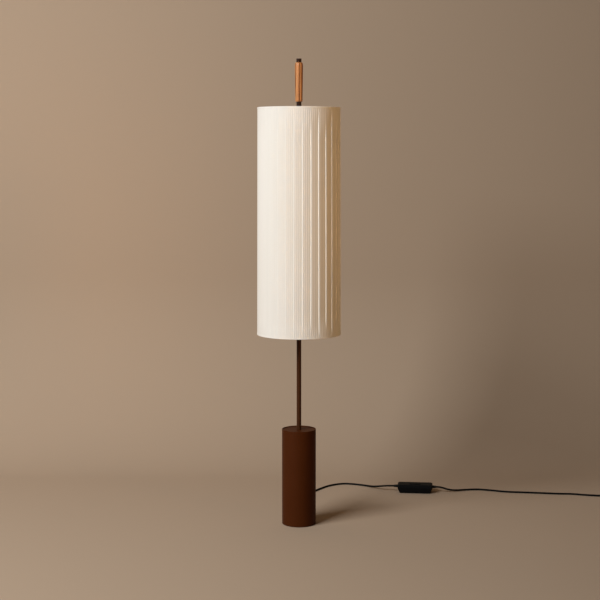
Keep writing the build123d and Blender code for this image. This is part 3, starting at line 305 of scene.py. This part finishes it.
def bare_metal(name, low, high, rough):
    """Turned or plated metal with a fine grain and faint stains."""
    made = Finish(name)
    grain = made.noise(made.place(), 900.0, 3.0, 0.6)
    stain = made.noise(made.place(), 60.0, 3.0)
    return made.dress(
        Base_Color=made.mix((grain * 0.4 + stain * 0.6).between(0.3, 0.7), low, high),
        Metallic=1.0,
        Roughness=stain.between(0.3, 0.7) * 0.12 + grain * 0.08 + rough,
        Normal=made.bump(grain, 0.00004, 0.5),
    )


def cast_iron():
    """Rough sand-cast iron under thin grey primer."""
    made = Finish("cast_iron")
    sand = made.noise(made.place(), 420.0, 5.0, 0.65)
    return made.dress(
        Base_Color=made.mix(sand.between(0.3, 0.7), (0.045, 0.043, 0.042), (0.11, 0.105, 0.10)),
        Metallic=0.4,
        Roughness=sand * 0.2 + 0.6,
        Normal=made.bump(sand, 0.0006, 0.8),
    )


def clear_glass():
    """Clear bulb glass with a faint waviness."""
    made = Finish("clear_glass")
    wave = made.noise(made.place(), 30.0)
    return made.dress(
        Base_Color=made.mix(wave, (0.93, 0.95, 0.95), (0.98, 0.98, 0.97)),
        Roughness=wave * 0.03,
        Transmission_Weight=1.0,
        IOR=1.45,
        Normal=made.bump(wave, 0.0004, 0.2),
    )


# Name: dark colour, light colour, roughness and gloss
PAINTS = {
    "paint_brown": ((0.058, 0.0128, 0.0018), (0.070, 0.0165, 0.0028), 0.42, 0.08),
    "paint_bronze": ((0.052, 0.0165, 0.0046), (0.064, 0.0215, 0.0066), 0.36, 0.13),
    "paint_dark": ((0.026, 0.0088, 0.0032), (0.034, 0.0122, 0.0046), 0.34, 0.16),
    "paint_white": ((0.70, 0.68, 0.64), (0.78, 0.76, 0.72), 0.4),
}
# Name: dark colour, light colour, roughness, grain and gloss
MOULDINGS = {
    "black_plastic": ((0.0026, 0.0026, 0.0026), (0.0046, 0.0045, 0.0044), 0.5, 2200.0, 0.1),
    "black_rubber": ((0.004, 0.0039, 0.0038), (0.0075, 0.0072, 0.0069), 0.6, 1600.0, 0.15),
    "cord_sheath": ((0.0024, 0.0023, 0.0022), (0.0045, 0.0043, 0.0041), 0.55, 1200.0, 0.08),
    "white_lead": ((0.62, 0.61, 0.58), (0.70, 0.69, 0.66), 0.45),
    "phenolic": ((0.016, 0.014, 0.013), (0.026, 0.023, 0.021), 0.3),
    "nylon": ((0.58, 0.56, 0.50), (0.66, 0.64, 0.58), 0.45),
    "ceramic": ((0.70, 0.67, 0.60), (0.78, 0.75, 0.69), 0.2),
}
# Name: dark colour, light colour and roughness
METALS = {
    "zinc": ((0.48, 0.48, 0.47), (0.62, 0.62, 0.60), 0.3),
    "brass": ((0.62, 0.43, 0.18), (0.76, 0.56, 0.27), 0.22),
    "nickel": ((0.60, 0.58, 0.54), (0.72, 0.70, 0.66), 0.16),
}
FINISHES = {
    "cotton": pleated_cotton("pleated_cotton"),
    # The folded edges get a copy of the cotton 4% lighter than the cover's: a painted highlight for the
    # bright line along each rim.
    "cotton_edge_highlight": pleated_cotton("cotton_edge_highlight", 1.04),
    "film": liner_film(),
    "wood": turned_wood(),
    "iron": cast_iron(),
    "glass": clear_glass(),
}
for make, kinds in ((satin_paint, PAINTS), (moulded, MOULDINGS), (bare_metal, METALS)):
    FINISHES.update({name: make(name, *values) for name, values in kinds.items()})


# Ways to make a mesh
def put_in(name, points, faces, finish, nodes, corners, merge=False, sharp=40):
    """A mesh piece of the fixed body that takes the place of some of the frame's nodes.

    Its place is in its points, and corners holds a UV pair for each face corner. Edges that turn by
    more than sharp degrees stay crisp.
    """
    mesh = bpy.data.meshes.new(name)
    mesh.from_pydata(points.tolist(), [], faces.tolist())
    mesh.uv_layers.new(name="UVMap").data.foreach_set("uv", corners.astype(np.float32).ravel())
    if merge:
        work = bmesh.new()
        work.from_mesh(mesh)
        bmesh.ops.remove_doubles(work, verts=work.verts, dist=1e-6)
        work.to_mesh(mesh)
        work.free()
    mesh.polygons.foreach_set("use_smooth", np.ones(len(mesh.polygons), bool))
    mesh.set_sharp_from_angle(angle=math.radians(sharp))
    mesh.materials.append(FINISHES[finish])
    piece = bpy.data.objects.new(name, mesh)
    bpy.context.scene.collection.objects.link(piece)
    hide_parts(*nodes)
    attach(piece, "root")
    return piece


def quads(rows, columns, closed_rows=False, closed_columns=True):
    """Quads of a grid of points, and the row and column of each corner before they wrap."""
    row, column = np.meshgrid(
        np.arange(rows - (not closed_rows)), np.arange(columns - (not closed_columns)), indexing="ij"
    )
    row = np.stack([row, row, row + 1, row + 1], axis=-1).reshape(-1, 4)
    column = np.stack([column, column + 1, column + 1, column], axis=-1).reshape(-1, 4)
    return (row % rows) * columns + column % columns, row, column


def rounded(corners):
    """An outline through (radius, height, fillet) corners, closed.

    A fillet runs on a quadratic blend between the points at its own distance before and after
    the corner. A point just outside each blend keeps the flats beside it flat in shading.
    """
    steps = 5
    guard = 1.15
    spots = np.array([corner[:2] for corner in corners])
    before = np.roll(spots, 1, axis=0) - spots
    after = np.roll(spots, -1, axis=0) - spots
    outline = []
    for spot, back, onward, corner in zip(spots, before, after, corners):
        cut = corner[2]
        if not cut:
            outline.append(spot[None])
            continue
        back = back / np.linalg.norm(back)
        onward = onward / np.linalg.norm(onward)
        t = np.linspace(0, 1, steps + 1)[:, None]
        blend = spot + cut * (back * (1 - t) ** 2 + onward * t**2)
        outline.append((spot + back * cut * guard)[None])
        outline.append(blend)
        outline.append((spot + onward * cut * guard)[None])
    return np.concatenate(outline)


def turned(name, outline, finish, segments, node):
    """A turned piece: each outline point (radius, height) runs once round the z axis.

    A point is at radius times the cosine and sine of its angle. The UV map is the largest radius
    times the angle, and the length along the outline.
    """
    outline = np.asarray(outline, float)
    angle = np.arange(segments) * TAU / segments
    radius = outline[:, :1]
    height = np.broadcast_to(outline[:, 1:], (len(outline), segments))
    points = np.stack([radius * np.cos(angle), radius * np.sin(angle), height], axis=-1)
    faces, row, column = quads(len(outline), segments, closed_rows=True)
    length = np.concatenate([[0], np.cumsum(np.hypot(*np.diff(outline, axis=0).T)), [0]])
    length[-1] = length[-2]
    u = column / segments * TAU * outline[:, 0].max()
    corners = np.stack([u, length[row]], axis=-1)
    return put_in(name, points.reshape(-1, 3), faces, finish, [node], corners, merge=True)


def mm(corners):
    """Corners given in millimetres, in metres."""
    return [tuple(value * MM for value in corner) for corner in corners]


set_camera()

# Cords: control points of one smooth line each, in millimetres
CORD_R = 3.25
FLOOR = CORD_R
SWITCH_PLACE = Vector((414, 417, 0))
SWITCH_TURN = math.radians(-6)
SWITCH_REACH = 74
SWITCH_AXIS_Z = 20


def at_switch(along, height):
    """A point on the switch's long axis, so far from its middle, at a height."""
    x = SWITCH_PLACE.x + along * math.cos(SWITCH_TURN)
    y = SWITCH_PLACE.y + along * math.sin(SWITCH_TURN)
    return (x, y, height)


FIRST_ROUTE = [
    (0, 85.5, 14), (0, 111.5, 14), (2, 146, 6), (8, 190, FLOOR), (10, 240, FLOOR), (19, 300, FLOOR),
    (31, 356, FLOOR), (50, 408, FLOOR), (78, 453, FLOOR), (108, 497, FLOOR), (160, 530, FLOOR),
    (205, 517, FLOOR), (243, 497, FLOOR), (266, 471, 6), (288, 444, 13.5),
    at_switch(-102, SWITCH_AXIS_Z), at_switch(-SWITCH_REACH, SWITCH_AXIS_Z),
]
COIL_POINTS_A_TURN = 18
COIL_START_ANGLE = -104.0
COIL_OUTER_R = 43.0
COIL_WIND_IN = 682.0
COIL_CLIMB = 180.0
COIL_STEP = 7.0
COIL_LOW_Z = 4.15
COIL_TURN = 2 * COIL_WIND_IN + COIL_CLIMB
COIL_START = Vector((1124.3, 331.4, 0))
COIL_START_TURN = math.radians(COIL_START_ANGLE)
COIL_START_SIDE = np.array([math.cos(COIL_START_TURN), math.sin(COIL_START_TURN), 0])
COIL_CENTRE = np.array(COIL_START) - COIL_OUTER_R * COIL_START_SIDE


def coil_points(angle):
    """Points of the coil at angles wound from its start, in degrees.

    The radius falls by one step a turn to the middle of the climb and then grows again, and the
    height climbs by one step there on a half cosine.
    """
    middle = COIL_WIND_IN + COIL_CLIMB / 2
    radius = COIL_OUTER_R - COIL_STEP / 360 * (middle - np.abs(angle - middle))
    climb = np.clip((angle - COIL_WIND_IN) / COIL_CLIMB, 0, 1)
    height = COIL_LOW_Z + COIL_STEP * (1 - np.cos(np.pi * climb)) / 2
    swing = np.radians(COIL_START_ANGLE + angle)
    out = np.stack([np.cos(swing), np.sin(swing), 0 * swing], axis=-1)
    points = COIL_CENTRE + out * radius[:, None]
    points[:, 2] = height
    return points


def coil_route():
    """The coil's control points, a little outside the turns so that the line runs on them."""
    count = round(COIL_TURN / 360 * COIL_POINTS_A_TURN)
    angle = np.linspace(0, COIL_TURN, count + 1)
    points = coil_points(angle)
    centre = COIL_CENTRE[:2]
    grow = 1 / math.cos(math.pi / COIL_POINTS_A_TURN)
    points[1:-1, :2] = centre + (points[1:-1, :2] - centre) * grow
    return points


def coil_way(angle):
    """The coil's direction at an angle: from half a degree before it to half a degree after."""
    near, far = coil_points(np.array([angle - 0.5, angle + 0.5]))
    return Vector(far - near).normalized()


COIL_WAY = coil_way(0)
COIL_IN = COIL_START + Vector((0, 0, COIL_LOW_Z)) - COIL_WAY * 2 * CORD_R
COIL_END = Vector(coil_points(np.array([COIL_TURN]))[0])
PLUG_WAY = coil_way(COIL_TURN)
COIL_OUT = COIL_END + PLUG_WAY * 2 * CORD_R
SECOND_ROUTE = [
    at_switch(SWITCH_REACH, SWITCH_AXIS_Z), at_switch(90, SWITCH_AXIS_Z), (528, 405, 12), (553, 414, 6),
    (590, 433, FLOOR), (640, 443, FLOOR), (690, 425, FLOOR), (735, 404, FLOOR), (800, 396, FLOOR),
    (868, 385, FLOOR), (920, 376, FLOOR), (966, 375, FLOOR), (1010, 358, FLOOR),
    tuple(COIL_IN - COIL_WAY * 47), tuple(COIL_IN), *coil_route().tolist(), tuple(COIL_OUT),
]


def lay_cord(name, route, nodes):
    """A cord on one smooth line through its control points."""
    data = bpy.data.curves.new(name, "CURVE")
    data.dimensions = "3D"
    data.bevel_depth = CORD_R * MM
    data.bevel_resolution = 3
    data.resolution_u = 6
    data.use_fill_caps = True
    spline = data.splines.new("NURBS")
    spline.points.add(len(route) - 1)
    for point, place in zip(spline.points, route):
        point.co = (*(value * MM for value in place), 1.0)
    spline.order_u = 3
    spline.use_endpoint_u = True
    spline.use_smooth = True
    data.materials.append(FINISHES["cord_sheath"])
    cord = bpy.data.objects.new(name, data)
    bpy.context.scene.collection.objects.link(cord)
    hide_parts(*nodes)
    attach(cord, "root")
    return cord


first_cord = lay_cord("mains_cord_foot_side", FIRST_ROUTE, ["cord_from_foot"])
second_cord = lay_cord("mains_cord_plug_side", SECOND_ROUTE, ["cord_to_coil", "cord_coil"])

# Shade: pleated cover and its folded edges
SHADE_R = 0.135
SHADE_TAPER = 0.003
SHADE_LOW = 0.6235
SHADE_HIGH = 1.3475
PLEATS = 31
PLEAT_DEPTH = 0.003
MEAN_DEPTH_SHARE = 0.88
DEPTH_SPREAD = 0.14
RIM_DEPTH_SHARE = 0.02
DEEPEST_INSET = PLEAT_DEPTH + 0.0008
STEP_SHARE = 0.045
FIRST_FOLD = math.radians(274.7)
FOLD_LEAN = 0.02
FOLD_SWING = 1.3
EASE_START = 0.002
EASE_START_SPREAD = 0.05
EASE_LENGTH = 0.06
EASE_LOW_RATIO = 1.6
RIBS = 4
RIB_DEPTH = 0.0003
COVER_BACK_INSET = 0.0044
TRIM_THICK = 0.0005
TRIM_GAP = 0.0001
TRIM_WIDTH = 0.005
TRIM_DEPTH = 0.0061


def shade_radius(height):
    """The shade's outer radius at a height."""
    return SHADE_R - SHADE_TAPER * (height - SHADE_LOW) / (SHADE_HIGH - SHADE_LOW)


def cover_piece():
    """The pleated cover: a closed wall whose outer side is worked out on angle and height.

    From each valley the radius rises by the valley's depth over the pleat's narrow step, then falls
    by the next valley's depth over the rest, less a cosine of shallow ribs. Each valley's depth eases
    almost to nothing at its own distance from the rims, and each fold line leans a little, so that
    both change smoothly from pleat to pleat. Rows crowd together at both rims by a sine.
    """
    per_pleat = 46
    step_columns = 10
    columns = PLEATS * per_pleat
    rows = 48
    crowding = 0.14
    low = SHADE_LOW + TRIM_THICK + TRIM_GAP
    high = SHADE_HIGH - TRIM_THICK - TRIM_GAP
    share = np.linspace(0, 1, rows)
    share = share - crowding * np.sin(TAU * share) / TAU * 2
    height = low + (high - low) * share
    fine = np.linspace(0, STEP_SHARE, step_columns, endpoint=False)
    coarse = np.linspace(STEP_SHARE, 1, per_pleat - step_columns, endpoint=False)
    place = np.tile(np.concatenate([fine, coarse]), PLEATS)
    pleat = np.repeat(np.arange(PLEATS), per_pleat)
    rng = np.random.default_rng(31)
    wander = rng.normal(0, 1, (PLEATS, 3))
    lean = wander[:, 0] * np.cos(np.pi * share[:, None] * FOLD_SWING + wander[:, 1])
    lean = lean[:, pleat] * (1 - place) + np.roll(lean, -1, axis=1)[:, pleat] * place
    angle = FIRST_FOLD + (pleat + place + FOLD_LEAN * lean) * TAU / PLEATS
    from_rim = np.minimum((height - low) * EASE_LOW_RATIO, high - height)[:, None]
    start = EASE_START + EASE_START_SPREAD * rng.uniform(0, 1, PLEATS)
    eased = np.clip((from_rim - start) / EASE_LENGTH, 0, 1)
    depth = PLEAT_DEPTH * (MEAN_DEPTH_SHARE + DEPTH_SPREAD * wander[:, 2])
    depth = depth * (RIM_DEPTH_SHARE + (1 - RIM_DEPTH_SHARE) * eased**2 * (3 - 2 * eased))
    depth = np.where(place < STEP_SHARE, depth[:, pleat], np.roll(depth, -1, axis=1)[:, pleat])
    rise = np.clip(place / STEP_SHARE, 0, 1)
    fall = np.clip((place - STEP_SHARE) / (1 - STEP_SHARE), 0, 1)
    crest = np.where(place < STEP_SHARE, rise**2 * (3 - 2 * rise), 1 - fall)
    inset = depth * (1 - crest) + RIB_DEPTH * (0.5 - 0.5 * np.cos(TAU * fall * RIBS))
    inset = np.clip(inset, 0, DEEPEST_INSET)
    radius = (shade_radius(height) - TRIM_THICK - TRIM_GAP)[:, None] - inset
    outer = np.stack(
        [radius * np.cos(angle), radius * np.sin(angle), np.broadcast_to(height[:, None], radius.shape)],
        axis=-1,
    )
    back = (shade_radius(height[[0, -1]]) - COVER_BACK_INSET)[:, None]
    back_angle = angle[[0, -1]]
    back_height = np.broadcast_to(height[[0, -1]][:, None], back_angle.shape)
    inner = np.stack([back * np.cos(back_angle), back * np.sin(back_angle), back_height], axis=-1)
    points = np.concatenate([outer, inner[::-1]]).reshape(-1, 3)
    faces, row, column = quads(rows + 2, columns, closed_rows=True)
    u = column / columns * TAU * SHADE_R
    v = np.concatenate([height, height[[-1, 0]], height[:1]])[row]
    corners = np.stack([u, v], axis=-1)
    return put_in("shade_cover", points, faces, "cotton", ["shade_pleats"], corners, sharp=60)


cover = cover_piece()


def trim_piece(name, rim, inward, node):
    """A folded cloth edge: a soft band outside, over the rim and inside, turned round the z axis.

    inward is 1 where the band goes up from its rim, and -1 where it goes down.
    """
    outer = shade_radius(rim)
    inner = outer - TRIM_DEPTH
    edge = rim + inward * TRIM_WIDTH
    fold = rim + inward * TRIM_THICK
    corners = [
        (inner, rim, 0.0009), (outer, rim, 0.0011), (outer, edge, 0.0002),
        (outer - TRIM_THICK, edge, 0.0002), (outer - TRIM_THICK, fold, 0),
        (inner + TRIM_THICK, fold, 0), (inner + TRIM_THICK, edge, 0.0002), (inner, edge, 0.0002),
    ]
    # The band's lighter cotton is a painted highlight along the rim.
    return turned(name, rounded(corners[::inward]), "cotton_edge_highlight", 256, node)


bottom_trim = trim_piece("shade_bottom_edge", SHADE_LOW, 1, "shade_bottom_trim")
top_trim = trim_piece("shade_top_edge", SHADE_HIGH, -1, "shade_top_trim")

# Foot, pole and grip, in millimetres
FOOT_R = 55
FOOT_BORE_R = 53.5
FOOT_LOW = 1.5
FOOT_HIGH = 313.5
LID_R = 53.35
LID_LOW = 308.5
LID_HIGH = 311.3
LID_BORE_R = 7.6
POLE_R = 7.5
POLE_BORE_R = 6.1
POLE_LOW = 26.5
POLE_HIGH = 1330
STOP_R = 14
STOP_LOW = 104
STOP_HIGH = 112
COLLAR_R = 7.75
COLLAR_LOW = 1333
GRIP_LOW = 1365.5
GRIP_SWELL_LOW = 1366.4
GRIP_SWELL_HEIGHT = 110.6
GRIP_SHOULDER = 1477
GRIP_HIGH = 1488
GRIP_LOW_R = 11.3
GRIP_SWELL = 1.4
GRIP_TOP_R = 9.2
GRIP_SHOULDER_WIDTH = 3.5
GRIP_BORE_R = 5.15
CAP_R = 8.1
CAP_HIGH = 1500


def grip_outline():
    """The grip's outline: its foot, a sine to the power 1.2 that widens upwards, a quarter ellipse."""
    share = np.linspace(0, 1, 25)
    swell_r = GRIP_LOW_R + GRIP_SWELL * np.sin(share * np.pi / 2) ** 1.2
    swell = np.stack([swell_r, GRIP_SWELL_LOW + GRIP_SWELL_HEIGHT * share], axis=-1)
    turn = np.linspace(0, np.pi / 2, 15)[1:]
    shoulder_r = GRIP_TOP_R + GRIP_SHOULDER_WIDTH * np.cos(turn)
    shoulder_z = GRIP_SHOULDER + (GRIP_HIGH - GRIP_SHOULDER) * np.sin(turn)
    shoulder = np.stack([shoulder_r, shoulder_z], axis=-1)
    foot = np.array([(GRIP_BORE_R, GRIP_LOW), (10.5, GRIP_LOW), (11.05, 1365.7)])
    return np.concatenate([foot, swell, shoulder, [(GRIP_BORE_R, GRIP_HIGH)]]) * MM


# Name, node, outline, finish and number of sides
TURNED_PIECES = [
    ("foot_shell", "foot_tube", rounded(mm([
        (FOOT_BORE_R, FOOT_LOW, 0), (FOOT_R, FOOT_LOW, 0.5), (FOOT_R, FOOT_HIGH, 0.8),
        (FOOT_BORE_R, FOOT_HIGH, 0.3),
    ])), "paint_brown", 160),
    ("foot_lid", "foot_top_plate", rounded(mm([
        (LID_BORE_R, LID_LOW, 0), (LID_R, LID_LOW, 0), (LID_R, LID_HIGH, 0.6), (LID_BORE_R, LID_HIGH, 0.3),
    ])), "paint_brown", 128),
    ("grip_handle", "grip", grip_outline(), "wood", 96),
    ("grip_cap_nut", "grip_cap", rounded(mm([
        (0, GRIP_HIGH, 0), (CAP_R, GRIP_HIGH, 0.3), (CAP_R, CAP_HIGH, 0.9), (0, CAP_HIGH, 0),
    ])), "paint_dark", 96),
    ("collar_sleeve", "grip_collar", rounded(mm([
        (GRIP_BORE_R, COLLAR_LOW, 0), (COLLAR_R, COLLAR_LOW, 0.3), (COLLAR_R, GRIP_LOW, 0.3),
        (GRIP_BORE_R, GRIP_LOW, 0),
    ])), "paint_dark", 96),
    ("pole_tube", "pole", rounded(mm([
        (POLE_BORE_R, POLE_LOW, 0), (POLE_R, POLE_LOW, 0.3), (POLE_R, STOP_LOW, 0), (STOP_R, STOP_LOW, 0.5),
        (STOP_R, STOP_HIGH, 0.5), (POLE_R, STOP_HIGH, 0), (POLE_R, POLE_HIGH, 0.3),
        (POLE_BORE_R, POLE_HIGH, 0),
    ])), "paint_bronze", 64),
]
for piece_name, node_name, outline, finish_name, sides in TURNED_PIECES:
    turned(piece_name, outline, finish_name, sides, node_name)

# Finishes of the pieces that the frame already shapes well
NODE_FINISHES = {
    "black_rubber": ["foot_pad", "cord_gland", "switch_feet", "switch_reliefs", "plug_boot"],
    "zinc": ["bottom_plate", "bottom_plate_screws", "pole_washer", "pole_nut", "switch_screws",
             "arm_clamp_screws", "clamp_rod", "gland_nut"],
    "iron": ["ballast"],
    "nylon": ["terminal_block", "switch_module"],
    "cord_sheath": ["foot_lead", "switch_leads"],
    "white_lead": ["pole_lead", "lower_arm_lead", "upper_arm_lead"],
    "brass": ["pole_top_insert", "lower_lampholder_sleeve", "upper_lampholder_sleeve"],
    "paint_white": ["shade_spider", "shade_top_ring", "shade_bottom_ring"],
    "film": ["shade_liner"],
    "paint_bronze": ["lower_arm_clamp", "upper_arm_clamp", "lower_arm", "upper_arm"],
    "phenolic": ["lower_lampholder", "upper_lampholder"],
    "ceramic": ["lower_lampholder_contact", "upper_lampholder_contact", "lower_bulb_filament",
                "upper_bulb_filament"],
    "nickel": ["lower_bulb_cap", "upper_bulb_cap", "plug_pins"],
    "glass": ["lower_bulb_glass", "upper_bulb_glass"],
    "black_plastic": ["switch_lower_shell", "switch_upper_shell", "switch_button", "plug_body", "coil_tie"],
}
for finish_name, nodes in NODE_FINISHES.items():
    for node_name in nodes:
        slots = CAD_NODES[node_name].data.materials
        slots.clear()
        slots.append(FINISHES[finish_name])

# Where the plug-side cord leaves the switch, in metres
switch_exit = tuple(value * MM for value in SECOND_ROUTE[0])


# Floor, backdrop and light
def lay_backdrop():
    """A seamless floor that curves up into a wall on a quarter circle."""
    front = -7.5
    back = 0.62
    bend = 0.7
    top = 5.0
    half_width = 12.0
    turn = np.linspace(0, math.pi / 2, 33)
    flat = np.linspace(-6, back - 0.1, 12)
    y = np.concatenate([[front], flat, back + bend * np.sin(turn), [back + bend]])
    z = np.concatenate([[0.0], 0 * flat, bend * (1 - np.cos(turn)), [top]])
    x = np.array([-half_width, half_width])
    points = np.stack([
        np.broadcast_to(x, (len(y), 2)), np.broadcast_to(y[:, None], (len(y), 2)),
        np.broadcast_to(z[:, None], (len(y), 2)),
    ], axis=-1).reshape(-1, 3)
    faces, _, _ = quads(len(y), 2, closed_columns=False)
    mesh = bpy.data.meshes.new("backdrop")
    mesh.from_pydata(points.tolist(), [], faces.tolist())
    mesh.polygons.foreach_set("use_smooth", np.ones(len(mesh.polygons), bool))
    mesh.materials.append(backdrop_paper())
    backdrop = bpy.data.objects.new("backdrop", mesh)
    bpy.context.scene.collection.objects.link(backdrop)


def light_air():
    """A faint warm light from all round, and a plain brown where a camera, gloss or glass sees it."""
    world = bpy.data.worlds.new("studio_air")
    world.use_nodes = True
    air = world.node_tree
    light = air.nodes["Background"]
    light.inputs["Color"].default_value = (1.0, 0.62, 0.32, 1.0)
    light.inputs["Strength"].default_value = 0.06
    seen = air.nodes.new("ShaderNodeBackground")
    seen.inputs["Color"].default_value = (0.12, 0.088, 0.062, 1.0)
    rays = air.nodes.new("ShaderNodeLightPath")
    any_ray = rays.outputs["Is Camera Ray"]
    for kind in ("Is Glossy Ray", "Is Transmission Ray"):
        either = air.nodes.new("ShaderNodeMath")
        either.operation = "MAXIMUM"
        air.links.new(any_ray, either.inputs[0])
        air.links.new(rays.outputs[kind], either.inputs[1])
        any_ray = either.outputs[0]
    choice = air.nodes.new("ShaderNodeMixShader")
    air.links.new(any_ray, choice.inputs[0])
    air.links.new(light.outputs[0], choice.inputs[1])
    air.links.new(seen.outputs[0], choice.inputs[2])
    air.links.new(choice.outputs[0], air.nodes["World Output"].inputs["Surface"])
    bpy.context.scene.world = world


lay_backdrop()
soft_lamp("key_lamp", (-2.9, -2.75, 3.2), (-0.8, 0.1, 0.8), 2.5, 2.1, 150, (0.95, 1.0, 1.09), 145)
soft_lamp("front_lamp", (0.6, -5.0, 2.3), (0, 0, 0.85), 2.5, 2.0, 4, (1.0, 0.84, 0.62))
soft_lamp("warm_reflector", (1.75, -1.65, 1.42), (0, 0, 1.13), 0.5, 1.25, 0.84, (1.0, 0.60, 0.28), 32)
light_air()
bpy.context.scene.view_settings.view_transform = "Standard"
